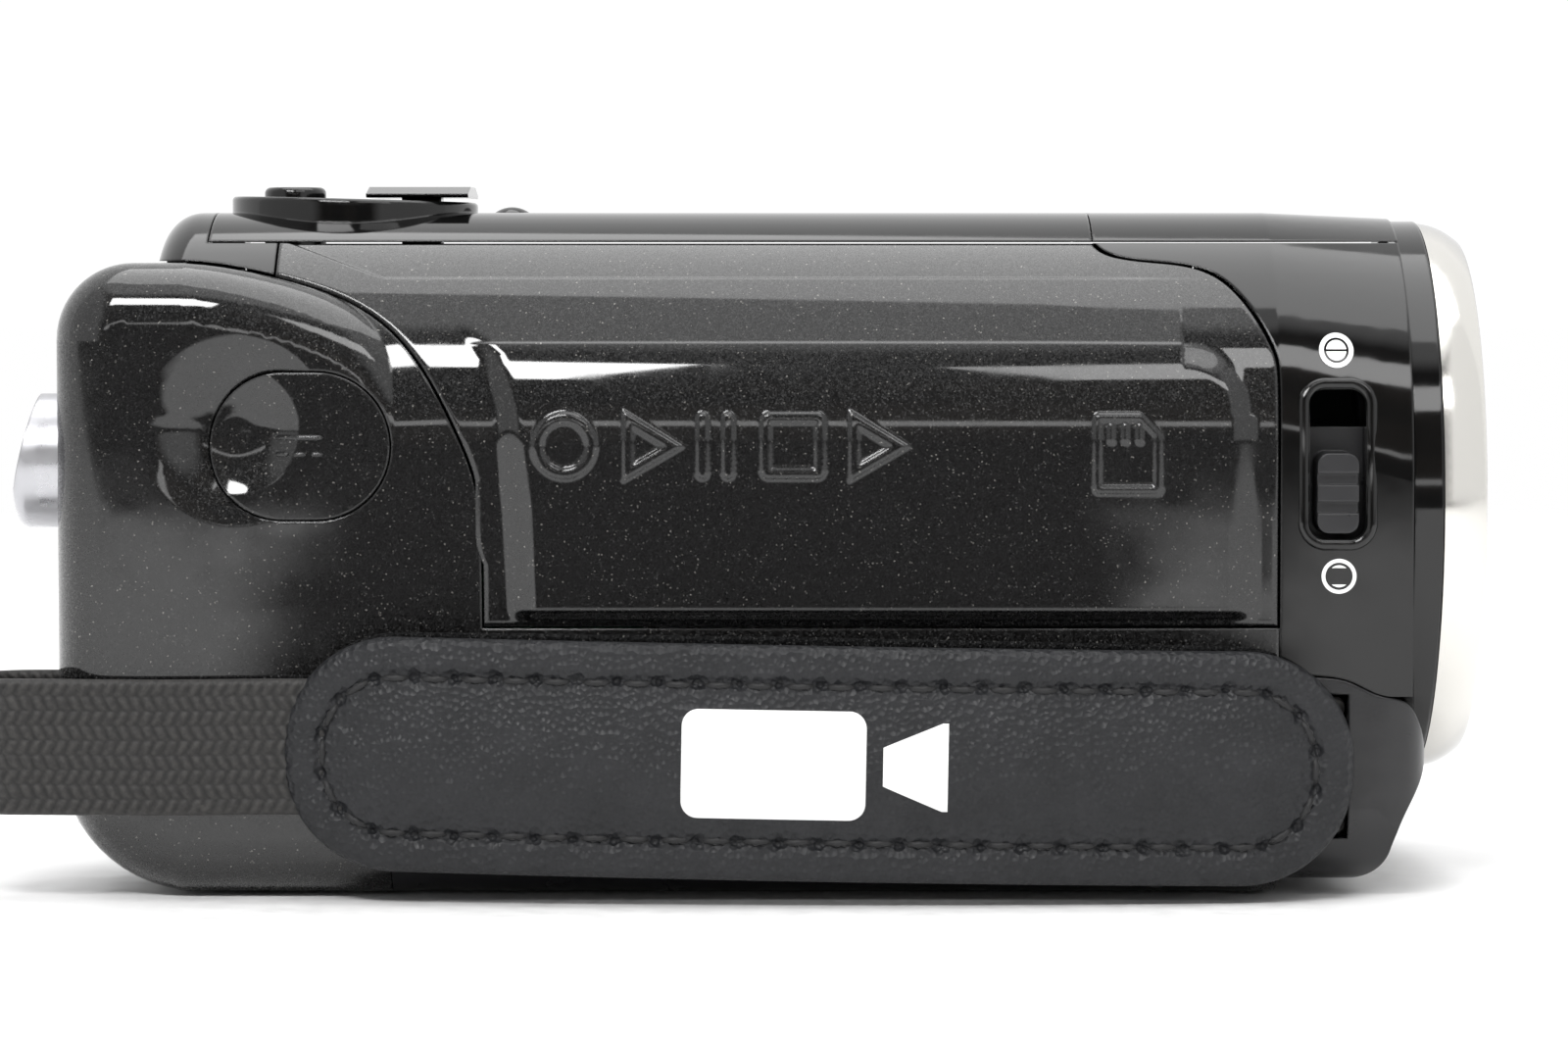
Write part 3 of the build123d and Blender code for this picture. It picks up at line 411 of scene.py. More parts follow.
def pillow(x, z):
    """Height of the panel's raised field: full-bodied, steep at its two ends and its foot."""
    left = np.interp(z, [21.0, 30.0, 38.0, 42.0, 45.0], [-21.5, -21.9, -22.7, -23.9, -26.5])
    ends = smooth(x, left, left + 2.4) * (1 - smooth(x, FIELD_FRONT - 2.4, FIELD_FRONT))
    top = 1 - smooth(z, 38.5, 46.5)
    past_x, past_z = x - (FIELD_FRONT - FIELD_CORNER), z - (FIELD_TOP - FIELD_CORNER)
    round_off = np.hypot(np.maximum(past_x, 0), np.maximum(past_z, 0))
    corner = 1 - smooth(round_off, FIELD_CORNER - 2.6, FIELD_CORNER)
    near_corner = (past_x > 0) & (past_z > 0)
    body = ends * np.where(near_corner, corner, 1.0) * smooth(z, 21.5, 22.6)
    crown = 1 - 0.18 * ((x - 6.0) / 30.0) ** 2
    return FIELD_RISE * body * crown * (0.25 + 0.75 * top) * np.where(z > 43.0, top, 1.0)


def crease(x, s):
    """A small lip along the panel's shoulder line, climbing to the top seam at its rear end."""
    line = 48.1 + np.maximum(0.0, (-31.5 - x)) * 0.36
    line_s = arc_height(np.minimum(line, 51.0) * MM) / MM
    fade = 1 - smooth(x, 20.0, 36.0)
    return 0.16 * fade * (1 - smooth(s, line_s - 0.12, line_s + 0.22))


PANEL_FOOT, PANEL_TOP = 21.17 * MM, 50.93 * MM
PANEL_EDGE, PANEL_SKIRT = 0.32, 1.2 * MM  # radius of its edges in millimetres, depth of its turned-in sides


def crowded(near, middle):
    """Fractions from 0 to 1, with near's fractions crowded at both ends."""
    near = np.array(near)
    return np.concatenate([near, middle, 1 - near[::-1]])


def build_side_panel():
    """The flake-painted panel as a fine skin over its CAD outline, with its field, crease and symbols."""
    foot, top = PANEL_FOOT, arc_height(np.array(PANEL_TOP))
    rows = crowded([0, 0.0004, 0.0012, 0.0025, 0.0045, 0.0075], np.linspace(0, 1, 300)[1:-1] * 0.98 + 0.01)
    s = foot + (top - foot) * rows
    y, z, ny, nz = side_point(s)
    spans = surface_spans("side_panel", np.clip(z, 21.3 * MM, 50.8 * MM), lambda y, z: y < -8.0 * MM)
    cols = crowded([0, 0.0004, 0.001, 0.002, 0.0035, 0.0055], np.linspace(0.008, 0.992, 620))
    x = spans[:, :1] + (spans[:, 1:] - spans[:, :1]) * cols[None, :]
    xm, zm, sm = x / MM, z[:, None] / MM + 0 * x, s[:, None] / MM + 0 * x
    height = pillow(xm, zm) + crease(xm, sm) + raised_marks(xm, zm) * (np.abs(zm - SYMBOL_Z) < SYMBOL_REACH)
    slope_x = np.gradient(spans[:, 0], s)
    edge = np.minimum.reduce([
        (x - spans[:, :1]) / np.sqrt(1 + slope_x[:, None] ** 2) / MM,
        (spans[:, 1:] - x) / MM, sm - foot / MM, top / MM - sm])
    edge = np.clip(edge, 0, PANEL_EDGE)
    height -= PANEL_EDGE - np.sqrt(PANEL_EDGE**2 - (PANEL_EDGE - edge) ** 2)
    h = height * MM
    points = np.stack([x, y[:, None] + ny[:, None] * h, z[:, None] + nz[:, None] * h], -1)
    inner_y, inner_z = (y - ny * PANEL_SKIRT)[:, None] + 0 * x, (z - nz * PANEL_SKIRT)[:, None] + 0 * x
    inside = np.stack([x, inner_y, inner_z], -1)
    full = np.concatenate([inside[:1], points, inside[-1:]])
    left, right = full[:, :1].copy(), full[:, -1:].copy()
    depth = np.stack([0 * y, -ny, -nz], -1)[:, None, :] * PANEL_SKIRT
    depth = np.concatenate([depth[:1] * 0, depth, depth[-1:] * 0])
    full = np.concatenate([left + depth, full, right + depth], axis=1)
    panel = grid_mesh("side_panel_skin", full)
    finish_piece(panel, "flake_black", hides=("side_panel",))


build_side_panel()


# ---- printed and moulded marks ------------------------------------------------------------------
def flat_shape(name, rings, place):
    """Thin printed shapes: each ring is a closed quad strip between an outer and an inner outline."""
    points, quads = [], []
    for outer, inner in rings:
        base, count = len(points), len(outer)
        points += [place(*p) for p in outer] + [place(*p) for p in inner]
        for i in range(count - 1):
            quads.append([base + i, base + i + 1, base + count + i + 1, base + count + i])
    return quad_mesh(name, np.array(points), np.array(quads))


def arc_points(cx, cz, radius, start, end, count=48):
    """Points along an arc in X and Z, with its angles in degrees."""
    angles = np.radians(np.linspace(start, end, count))
    return [(cx + radius * math.cos(a), cz + radius * math.sin(a)) for a in angles]


OUTSIDE_Y = -40.0 * MM  # clear of the hand side, where rays start


def on_barrel(x, z, lift=0.05):
    """A point on the hand side of the barrel, found on the CAD surface, x and z in millimetres."""
    cover = nodes["barrel_cover"]
    hit, where, _, _ = cover.ray_cast(Vector((x * MM, OUTSIDE_Y, z * MM)), Vector((0, 1, 0)))
    return where - Vector((0, lift * MM, 0)) if hit else Vector((x * MM, SIDE_Y - lift * MM, z * MM))


MARK_R = 1.36  # outer radius of the pictograms, in millimetres


def switch_mark(name, cx, cz, inner, arc, half_angle, line, half_line):
    """A printed ring, from MARK_R in to inner, round two arc segments with straight inner sides."""
    rings = [(arc_points(cx, cz, MARK_R, 0, 360), arc_points(cx, cz, inner, 0, 360))]
    for middle, side in ((90, 1), (270, -1)):
        ends = np.linspace(side * half_line, -side * half_line, 48)
        rings.append((arc_points(cx, cz, arc, middle - half_angle, middle + half_angle),
                      [(cx + x, cz + side * line) for x in ends]))
    finish_piece(flat_shape(name, rings, on_barrel), "satin_silver", material=MATERIALS["white_print"])


def build_switch_marks():
    """The two pictograms beside the lens-cover switch: shut above, open below."""
    switch_mark("mark_lens_shut", 43.0, 42.6, 0.98, 0.8, 84, 0.08, 0.78)
    switch_mark("mark_lens_open", 43.1, 25.1, 1.06, 0.86, 40, 0.64, 0.55)


def loop_tube(name, path, radius, sides=10, squash=1.0):
    """A closed tube along a closed path of points; squash flattens it in Y."""
    path = np.array(path)
    ahead = np.roll(path, -1, 0) - np.roll(path, 1, 0)
    ahead /= np.linalg.norm(ahead, axis=1)[:, None]
    out = np.array([0.0, -1.0, 0.0])
    side = np.cross(ahead, out)
    side /= np.linalg.norm(side, axis=1)[:, None]
    angles = np.linspace(0, 2 * math.pi, sides, endpoint=False)
    ring = (side[:, None, :] * np.cos(angles)[None, :, None]
            + out[None, None, :] * np.sin(angles)[None, :, None] * squash) * radius
    return grid_mesh(name, path[:, None, :] + ring, close_u=True, close_v=True)


def capsule_path(cx, cz, half_x, half_z, radius, count=24):
    """Corners of a rounded rectangle in X and Z, in millimetres."""
    path = []
    for sx, sz, start in ((1, 1, 0), (-1, 1, 90), (-1, -1, 180), (1, -1, 270)):
        corner_x, corner_z = cx + sx * (half_x - radius), cz + sz * (half_z - radius)
        path += arc_points(corner_x, corner_z, radius, start, start + 90, count)[:-1]
    return path


def build_switch_rim():
    """The glossy bead round the slot of the lens-cover switch."""
    path = [on_barrel(x, z, 0.0) for x, z in capsule_path(43.0, 33.8, 2.65, 6.25, 1.7)]
    rim = loop_tube("switch_rim", path, 0.45 * MM, 16, 0.8)
    finish_piece(rim, "gloss_black")


build_switch_marks()
build_switch_rim()


# ---- hand strap ---------------------------------------------------------------------------------
PAD_CX, PAD_CZ, PAD_TILT = 2.7, 10.9, math.radians(-1.0)
PAD_HALF_X, PAD_HALF_Z, PAD_CORNER = 41.5, 9.1, 8.7
PAD_BOW, PAD_FACE_Y = 290.0, -28.0
STITCH_INSET, STITCHES = 2.95, 54


def pad_ring(inset, count):
    """Points of the pad's outline drawn in by inset, in the pad's own flat axes."""
    radius = max(PAD_CORNER - inset, 0.0)
    half_x, half_z = PAD_HALF_X - inset, max(PAD_HALF_Z - inset, 0.0)
    corner_x, corner_z = half_x - radius, half_z - radius
    long, short, turn = PAD_HALF_X - PAD_CORNER, PAD_HALF_Z - PAD_CORNER, math.pi / 2
    bend = (PAD_CORNER - STITCH_INSET) * turn
    length = np.array([long, bend, short, short, bend, long] * 2)
    stops = np.concatenate([[0], np.cumsum(length)]) / length.sum()
    t = np.arange(count) / count
    x, z = np.zeros(count), np.zeros(count)
    for part in range(12):
        use = (t >= stops[part]) & (t < stops[part + 1])
        f = (t[use] - stops[part]) / (stops[part + 1] - stops[part])
        kind, flip = part % 6, 1 if part < 6 else -1
        if kind == 0:
            px, pz = f * corner_x, half_z + 0 * f
        elif kind == 1:
            px, pz = corner_x + radius * np.sin(f * turn), corner_z + radius * np.cos(f * turn)
        elif kind == 2:
            px, pz = half_x + 0 * f, corner_z * (1 - f)
        elif kind == 3:
            px, pz = half_x + 0 * f, -corner_z * f
        elif kind == 4:
            px, pz = corner_x + radius * np.cos(f * turn), -corner_z - radius * np.sin(f * turn)
        else:
            px, pz = corner_x * (1 - f), -half_z + 0 * f
        x[use], z[use] = px * flip, pz * flip
    return x, z


def pad_place(x, z, y):
    """Puts flat pad points on the bowed, slightly tilted strap; y is the depth at the pad's middle."""
    px = PAD_CX + x * math.cos(PAD_TILT) - z * math.sin(PAD_TILT)
    pz = PAD_CZ + x * math.sin(PAD_TILT) + z * math.cos(PAD_TILT)
    bow = PAD_BOW - np.sqrt(PAD_BOW**2 - x**2)
    return np.stack([px, y + bow, pz], -1) * MM


def pad_profile():
    """(inset, depth) pairs from the middle of the front, round the rolled edge, to the middle of the back."""
    front = [(d, 0.0) for d in np.linspace(9.1, 1.0, 28)]
    roll = [(1.0 - 1.0 * math.sin(a), 1.0 - math.cos(a)) for a in np.radians(np.linspace(15, 90, 6))]
    side = [(0.0, 1.5), (0.05, 2.0), (0.35, 2.45)]
    back = [(d, 2.6) for d in np.linspace(1.0, 9.1, 6)]
    return front + roll + side + back


SIM_SCALE = 5.0  # the pad is simulated this much larger, so that its cells are a few millimetres across
SIM_STEP = 5  # fine columns of the pad to each simulated one


def swell(points, pins, seam_row, frames=20, pressure=16.0, cap=0.75 * MM):
    """Blows a coarse copy of the pad up as cloth held at its seams; returns how each fine point moves."""
    rows = sorted({*range(0, len(points), 3), seam_row, len(points) - 1})
    grid = (points[rows][:, ::SIM_STEP] * SIM_SCALE).reshape(-1, 3)
    held = pins[rows][:, ::SIM_STEP].reshape(-1).round(3)
    copy = grid_mesh("pad_copy", grid.reshape(len(rows), -1, 3), close_v=True)
    weld_seams(copy, 0.1 * MM * SIM_SCALE)
    start = np.array([v.co for v in copy.data.vertices])
    nearest = np.linalg.norm(grid[:, None] - start[None], axis=2).argmin(axis=1)
    weights = np.zeros(len(start))
    np.maximum.at(weights, nearest, held)
    group = copy.vertex_groups.new(name="pins")
    for weight in np.unique(weights):
        group.add(np.nonzero(weights == weight)[0].tolist(), float(weight), "REPLACE")
    cloth = copy.modifiers.new("foam", "CLOTH")
    cloth.settings.quality = 6
    cloth.settings.use_pressure = True
    cloth.settings.uniform_pressure_force = pressure
    cloth.settings.effector_weights.gravity = 0.0
    cloth.settings.vertex_group_mass = "pins"
    cloth.settings.pin_stiffness = 1.0
    cloth.collision_settings.use_collision = False
    cloth.point_cache.frame_start, cloth.point_cache.frame_end = 1, frames
    for number in range(1, frames + 1):
        bpy.context.scene.frame_set(number)
    ready = copy.evaluated_get(bpy.context.evaluated_depsgraph_get())
    swollen = np.array([v.co for v in ready.data.vertices])
    bpy.data.objects.remove(copy)
    bpy.context.scene.frame_set(1)
    coarse = ((swollen - start)[nearest] / SIM_SCALE).reshape(len(rows), -1, 3)
    across, down = np.arange(points.shape[1]), np.arange(len(points))
    move = np.empty(points.shape)
    for axis in range(3):
        wide = [np.interp(across, across[::SIM_STEP], line, period=len(across)) for line in coarse[..., axis]]
        move[..., axis] = np.stack([np.interp(down, rows, line) for line in np.stack(wide, 1)], 1)
    move = sum(np.roll(move, shift, axis=1) for shift in range(-2, 3)) / 5
    size = np.linalg.norm(move, axis=2, keepdims=True)
    return move * np.minimum(1.0, cap / np.maximum(size, 1e-9))


def build_pad():
    """The padded strap: leather over foam, sewn down along one line inside its rolled edge."""
    count = STITCHES * 10
    rings = []
    for inset, depth in pad_profile():
        x, z = pad_ring(inset, count)
        phase = np.arange(count) / count * STITCHES
        seam = math.exp(-((inset - STITCH_INSET) / 0.34) ** 2) if depth < 1.0 else 0.0
        hole = 0.5 + 0.5 * np.cos(2 * math.pi * phase)
        dip = seam * (0.30 + 0.75 * hole**4)
        rings.append(pad_place(x, z, PAD_FACE_Y + depth + dip))
    points = np.stack(rings)
    insets = np.array([p[0] for p in pad_profile()])[:, None]
    depths = np.array([p[1] for p in pad_profile()])[:, None]
    near_seam = np.abs(insets - STITCH_INSET) < 0.28
    hole = np.arange(count)[None, :] % 10 == 0
    pins = np.where(near_seam & hole, 1.0, 0.0)
    pins = np.where(near_seam & ~hole, 0.85, pins)
    pins = np.where((depths > 0.6) | (insets < 0.55), 1.0, pins)
    seam_row = int(np.argmin(np.abs(insets[:28, 0] - STITCH_INSET)))
    points = points + swell(points, pins, seam_row)
    pad = grid_mesh("strap_pad", points, close_v=True)
    weld_seams(pad)
    sub = pad.modifiers.new("smooth", "SUBSURF")
    sub.levels = sub.render_levels = 1
    finish_piece(pad, "pad_leather", hides=("grip_pad",))
    return pad, points[seam_row]


def weld_seams(obj, reach=0.001 * MM):
    """Joins points that lie within reach, such as those along the middle of the front and the back."""
    work = bmesh.new()
    work.from_mesh(obj.data)
    bmesh.ops.remove_doubles(work, verts=work.verts, dist=reach)
    bmesh.ops.dissolve_degenerate(work, edges=work.edges, dist=1e-7)
    bmesh.ops.recalc_face_normals(work, faces=work.faces)
    work.to_mesh(obj.data)
    work.free()


def build_stitches(seam):
    """One bar of twisted thread from each hole to the next, dipping into the leather at both ends."""
    out = Vector((0, -1, 0))
    points, quads = [], []
    steps, sides, per = 14, 10, len(seam) // STITCHES
    for n in range(STITCHES):
        index = n * per + np.linspace(0.9, per - 0.9, steps)
        low = np.floor(index).astype(int)
        part = (index - low)[:, None]
        line = seam[low % len(seam)] * (1 - part) + seam[(low + 1) % len(seam)] * part
        rise = np.sin(np.linspace(0, math.pi, steps)) ** 0.5
        line[:, 1] -= (-0.34 + 0.42 * rise) * MM
        base = len(points)
        for i in range(steps):
            ahead = Vector(line[min(i + 1, steps - 1)] - line[max(i - 1, 0)]).normalized()
            side = ahead.cross(out).normalized()
            radius = 0.27 * MM * max(0.25, math.sin(math.pi * (i + 0.6) / (steps + 0.2)) ** 0.35)
            for k in range(sides):
                angle = 2 * math.pi * k / sides
                ply = 1 + 0.16 * math.cos(2 * (angle + 0.9 * i))
                spot = Vector(line[i]) + (side * math.cos(angle) + out * math.sin(angle)) * radius * ply
                points.append(spot[:])
        for i in range(steps - 1):
            for k in range(sides):
                nk = (k + 1) % sides
                quads.append([base + i * sides + k, base + i * sides + nk,
                              base + (i + 1) * sides + nk, base + (i + 1) * sides + k])
    thread = quad_mesh("strap_stitches", np.array(points), np.array(quads))
    close_ends(thread)
    finish_piece(thread, "black_webbing", material=MATERIALS["thread"])


def close_ends(obj):
    """Caps every open end of a mesh of tubes."""
    work = bmesh.new()
    work.from_mesh(obj.data)
    bmesh.ops.holes_fill(work, edges=[e for e in work.edges if e.is_boundary], sides=0)
    bmesh.ops.recalc_face_normals(work, faces=work.faces)
    work.to_mesh(obj.data)
    work.free()


PRINT_LIFT, PRINT_DEPTH = 0.045 * MM, 0.12 * MM  # how far the print stands off the leather, and its sides


def printed_patch(name, rows, edges, tree_of_pad):
    """A thin print on the pad; edges(z) gives its left and right at a height, in pad millimetres."""
    points = []
    for z in rows:
        left, right = edges(z)
        points.append([pad_print_point(x, z, tree_of_pad) for x in np.linspace(left, right, 70)])
    front = np.array(points)
    shift = np.array([0, PRINT_DEPTH, 0])
    grid = np.concatenate([front[:1] + shift, front, front[-1:] + shift])
    grid = np.concatenate([grid[:, :1] + shift, grid, grid[:, -1:] + shift], axis=1)
    patch = grid_mesh(name, grid)
    finish_piece(patch, "pad_leather", material=MATERIALS["white_print"])


def pad_print_point(x, z, tree_of_pad):
    """The point just over the pad's leather at flat pad coordinates x and z."""
    start = Vector(pad_place(np.array(x), np.array(z), PAD_FACE_Y - 6.0))
    hit = tree_of_pad.ray_cast(start, Vector((0, 1, 0)))[0]
    return (hit - Vector((0, PRINT_LIFT, 0)))[:] if hit else start[:]


def build_pad_mark(pad):
    """A plain video-camera pictogram, printed in white on the strap."""
    ready = pad.evaluated_get(bpy.context.evaluated_depsgraph_get())
    surface = BVHTree.FromObject(ready, bpy.context.evaluated_depsgraph_get())
    half, corner, left, right = 4.2, 1.3, -10.6, 3.6

    def body(z):
        over = max(abs(z) - (half - corner), 0.0)
        cut = corner - math.sqrt(max(corner**2 - over**2, 0.0))
        return left + cut, right - cut

    horn_left, horn_right, horn_neck, horn_half, horn_flare = 4.9, 9.9, 1.5, 3.4, 2.4

    def horn(z):
        return horn_left + max(0.0, abs(z) - horn_neck) * horn_flare, horn_right

    rows = half * np.sin(np.linspace(-math.pi / 2, math.pi / 2, 46))
    printed_patch("mark_camera_body", rows, body, surface)
    printed_patch("mark_camera_horn", np.linspace(-horn_half, horn_half, 40), horn, surface)


# ---- webbing ------------------------------------------------------------------------------------
WEB_HALF, WEB_ROWS, WEB_PITCH = 5.15, 9, 0.95  # half width, rows of yarn, and one yarn along the tape
WEB_DEPTH, SELVEDGE, WEB_BULGE, BRAID = 0.36, 0.25, 0.4, 0.27  # half depth, edge, its bulge, yarn height


def plan_path(pieces, step=0.15):
    """Evenly spaced plan points and normals along straight lines and arcs, in millimetres."""
    points = []
    for piece in pieces:
        if piece[0] == "line":
            (x0, y0), (x1, y1) = piece[1:]
            n = max(2, int(math.hypot(x1 - x0, y1 - y0) / 0.05))
            points += [(x0 + (x1 - x0) * i / n, y0 + (y1 - y0) * i / n) for i in range(n)]
        else:
            (cx, cy), radius, start, sweep = piece[1:]
            n = max(4, int(abs(math.radians(sweep)) * radius / 0.05))
            for i in range(n):
                angle = math.radians(start + sweep * i / n)
                points.append((cx + radius * math.cos(angle), cy + radius * math.sin(angle)))
    raw = np.array(points)
    for _ in range(12):
        raw[1:-1] = (raw[:-2] + 2 * raw[1:-1] + raw[2:]) / 4
    run = np.concatenate([[0], np.cumsum(np.linalg.norm(np.diff(raw, axis=0), axis=1))])
    u = np.arange(0, run[-1], step)
    path = np.stack([np.interp(u, run, raw[:, 0]), np.interp(u, run, raw[:, 1])], -1)
    ahead = np.gradient(path, axis=0)
    ahead /= np.linalg.norm(ahead, axis=1)[:, None]
    return u, path, np.stack([-ahead[:, 1], ahead[:, 0]], -1)


def knit(u, across):
    """Height of the braid: rows of slanting yarns that mirror each other into chevrons."""
    row = (across / (2 * WEB_HALF) + 0.5) * WEB_ROWS
    index = np.floor(np.clip(row, 0, WEB_ROWS - 1e-6))
    f = row - index
    slant = np.where(index % 2 == 0, 1.0, -1.0)
    phase = u / WEB_PITCH + slant * (f - 0.5) * 0.62 + 0.25 * (index % 2)
    yarn_height = np.abs(np.cos(math.pi * phase)) ** 0.7
    valley = np.sin(math.pi * np.clip(f, 0.0, 1.0)) ** 0.5
    return BRAID * yarn_height * (0.25 + 0.75 * valley)


def build_webbing(name, node, pieces, z0, z1):
    """A flat braided tape, swept on edge along its plan path, with rounded selvedges."""
    u, path, normal = plan_path(pieces)
    span = np.linspace(-1, 1, 74)
    flat, edge = span * (WEB_HALF - SELVEDGE), np.radians(np.linspace(0, 180, 9)[1:-1])
    face = [(a, WEB_DEPTH) for a in flat]
    tip = [(WEB_HALF - SELVEDGE + WEB_BULGE * math.sin(e), WEB_DEPTH * math.cos(e)) for e in edge]
    ring = face + tip + [(-a, -b) for a, b in face] + [(-a, -b) for a, b in tip]
    a, b = np.array(ring).T
    middle = (z0 + z1) / 2
    sway = 0.10 * np.sin(u / 6.3) + 0.06 * np.sin(u / 2.9 + 1.0)
    lift = knit(u[:, None], np.clip(a, -WEB_HALF, WEB_HALF)[None, :]) * np.sign(b + 1e-9)[None, :]
    depth = b[None, :] + lift
    z = middle + a[None, :] + 0.35 * sway[:, None] + 0 * depth
    x = path[:, :1] + normal[:, :1] * depth
    y = path[:, 1:] + normal[:, 1:] * depth
    tape = grid_mesh(name, np.stack([x, y, z], -1) * MM, close_v=True)
    close_ends(tape)
    finish_piece(tape, "black_webbing", hides=(node,))


def bar_centre(node):
    """Plan position of a strap bar, in millimetres."""
    low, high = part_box(node)
    return (low[0] + high[0]) / 2 / MM, (low[1] + high[1]) / 2 / MM


REAR_X, REAR_Y, REAR_INNER_Y = -59.4, -24.1, -15.74  # where the rear tape turns back, and its two runs
REAR_R, FRONT_R, WRAP_R = 4.18, 1.65, 1.54  # radii of its turn, and of the wraps on the front and rear bars


def build_strap():
    """The pad, its stitches and print, and the two tapes that loop round their bars."""
    pad, seam = build_pad()
    build_stitches(seam)
    build_pad_mark(pad)
    rear_bar, front_bar = bar_centre("rear_strap_bar"), bar_centre("front_strap_bar")
    rear = [("line", (-20.0, -25.35), (-38.0, REAR_Y)), ("line", (-38.0, REAR_Y), (REAR_X, REAR_Y)),
            ("arc", (REAR_X, REAR_Y + REAR_R), REAR_R, 270, -180),
            ("line", (REAR_X, REAR_INNER_Y), (-55.2, REAR_INNER_Y)), ("arc", rear_bar, WRAP_R, 270, 180)]
    front = [("line", (26.0, -25.2), (38.0, -24.2)),
             ("line", (38.0, -24.2), (front_bar[0], front_bar[1] - FRONT_R)),
             ("arc", front_bar, FRONT_R, 270, 180)]
    build_webbing("rear_tape", "rear_webbing", rear, 6.7, 17.2)
    build_webbing("front_tape", "front_webbing", front, 5.0, 15.5)


build_strap()


# ---- small details ------------------------------------------------------------------------------
def raised_bar(x0, x1, z, half, node):
    """Points and faces of a small rounded bar that lies on a node's hand side, in millimetres."""
    surface = nodes[node]
    rows = []
    for x in np.linspace(x0, x1, 18):
        end = min(x - x0, x1 - x)
        width = half * math.sqrt(max(1 - max(0.0, 1 - end / half) ** 2, 0.02))
        hit, spot, _, _ = surface.ray_cast(Vector((x * MM, OUTSIDE_Y, z * MM)), Vector((0, 1, 0)))
        depth = (spot.y if hit else SIDE_Y) / MM
        arc = np.radians(np.linspace(0, 180, 9))
        rows.append([(x, depth + 0.1 - 0.26 * math.sin(a), z + width * math.cos(a)) for a in arc])
    return np.array(rows) * MM


def build_power_symbol():
    """The plain direct-current symbol moulded into the socket cover: a line over three dashes."""
    low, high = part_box("socket_cover")
    cx, cz = (low[0] + high[0]) / 2 / MM, (low[2] + high[2]) / 2 / MM
    bars = [(-1.9, 1.9, 0.65)] + [(-1.9 + 1.4 * n, -0.9 + 1.4 * n, -0.65) for n in range(3)]
    for number, (x0, x1, dz) in enumerate(bars):
        bar = grid_mesh(f"power_symbol_{number}", raised_bar(cx + x0, cx + x1, cz + dz, 0.24, "socket_cover"))
        close_ends(bar)
        finish_piece(bar, "flake_black", body="socket_flap")


def build_base_screws():
    """Pan heads with a cross recess, in place of the plain CAD screws."""
    head_r, rings, spokes = 1.75, 22, 96
    low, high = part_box("base_screws")
    for sx in (0, 1):
        for sy in (0, 1):
            cx = (low[0] / MM + head_r, high[0] / MM - head_r)[sx]
            cy = (low[1] / MM + head_r, high[1] / MM - head_r)[sy]
            r = np.linspace(0.001, head_r, rings)[:, None]
            a = np.linspace(0, 2 * math.pi, spokes, endpoint=False)[None, :]
            px, py = r * np.cos(a), r * np.sin(a)
            arm = np.minimum(np.maximum(np.abs(px) - 0.95, np.abs(py) - 0.2),
                             np.maximum(np.abs(py) - 0.95, np.abs(px) - 0.2))
            z = 0.2 + 0.22 * (r / head_r) ** 4 + 0.5 * (1 - smooth(arm, -0.08, 0.06))
            skirt = np.stack([px[-1], py[-1], np.full(spokes, 1.1)], -1)
            disc = np.stack([px + cx, py + cy, z + 0 * px], -1)
            grid = np.concatenate([disc, (skirt + [cx, cy, 0])[None]]) * MM
            head = grid_mesh(f"base_screw_{sx}{sy}", grid, close_v=True)
            close_ends(head)
            finish_piece(head, "steel", hides=("base_screws",))


CONE_X, CONE_R = (50.6, 53.0), (10.4, 17.6)  # the cone round the lens, from its small end to its mouth
RIB_R, RIB_STEP, RIB_LIFT = 0.16, 1.0, 0.02
SHADE_LINE_X, SHADE_LINE_R = 54.72, 20.0  # mouth of the bright ring, where a dark bead puts a painted shade line


def build_lens_ribs():
    """Fine light-trapping rings on the cone round the lens."""
    low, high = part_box("lens_ring")
    cz = (low[2] + high[2]) / 2 / MM
    slope = (CONE_X[1] - CONE_X[0]) / (CONE_R[1] - CONE_R[0])
    for number, radius in enumerate(np.arange(11.3, 17.4, RIB_STEP)):
        x = CONE_X[0] + RIB_LIFT + (radius - CONE_R[0]) * slope
        path = [(x * MM, radius * math.cos(a) * MM, (cz + radius * math.sin(a)) * MM)
                for a in np.linspace(0, 2 * math.pi, 160, endpoint=False)]
        rib = turned_rib(f"lens_rib_{number}", path, RIB_R * MM)
        finish_piece(rib, "satin_black")


def turned_rib(name, path, radius, sides=8):
    """A round-section ring about the lens axis."""
    path = np.array(path)
    centre = path.mean(axis=0)
    spoke = path - centre
    spoke /= np.linalg.norm(spoke, axis=1)[:, None]
    ahead = np.array([1.0, 0.0, 0.0])
    angles = np.linspace(0, 2 * math.pi, sides, endpoint=False)
    ring = spoke[:, None, :] * np.cos(angles)[None, :, None] + ahead * np.sin(angles)[None, :, None]
    ring *= radius
    return grid_mesh(name, path[:, None, :] + ring, close_u=True, close_v=True)


def build_ring_shade_line():
    """A thin satin-black bead that stands in for the painted shade line at the mouth of the bright ring."""
    low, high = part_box("lens_ring")
    cz = (low[2] + high[2]) / 2
    path = [(SHADE_LINE_X * MM, SHADE_LINE_R * math.cos(a) * MM, cz + SHADE_LINE_R * math.sin(a) * MM)
            for a in np.linspace(0, 2 * math.pi, 200, endpoint=False)]
    finish_piece(turned_rib("lens_ring_shade_line", path, 0.2 * MM), "satin_black")


build_power_symbol()
build_base_screws()
build_lens_ribs()
build_ring_shade_line()


# ---- stage --------------------------------------------------------------------------------------
def soft_box(name, centre, target, width, height, power):
    """A rectangular area light at centre that faces target."""
    light = bpy.data.lights.new(name, "AREA")
    light.shape = "RECTANGLE"
    light.size, light.size_y, light.energy = width, height, power
    lamp = bpy.data.objects.new(name, light)
    lamp.location = centre
    lamp.rotation_euler = (Vector(target) - Vector(centre)).to_track_quat("-Z", "Y").to_euler()
    bpy.context.scene.collection.objects.link(lamp)
    return lamp


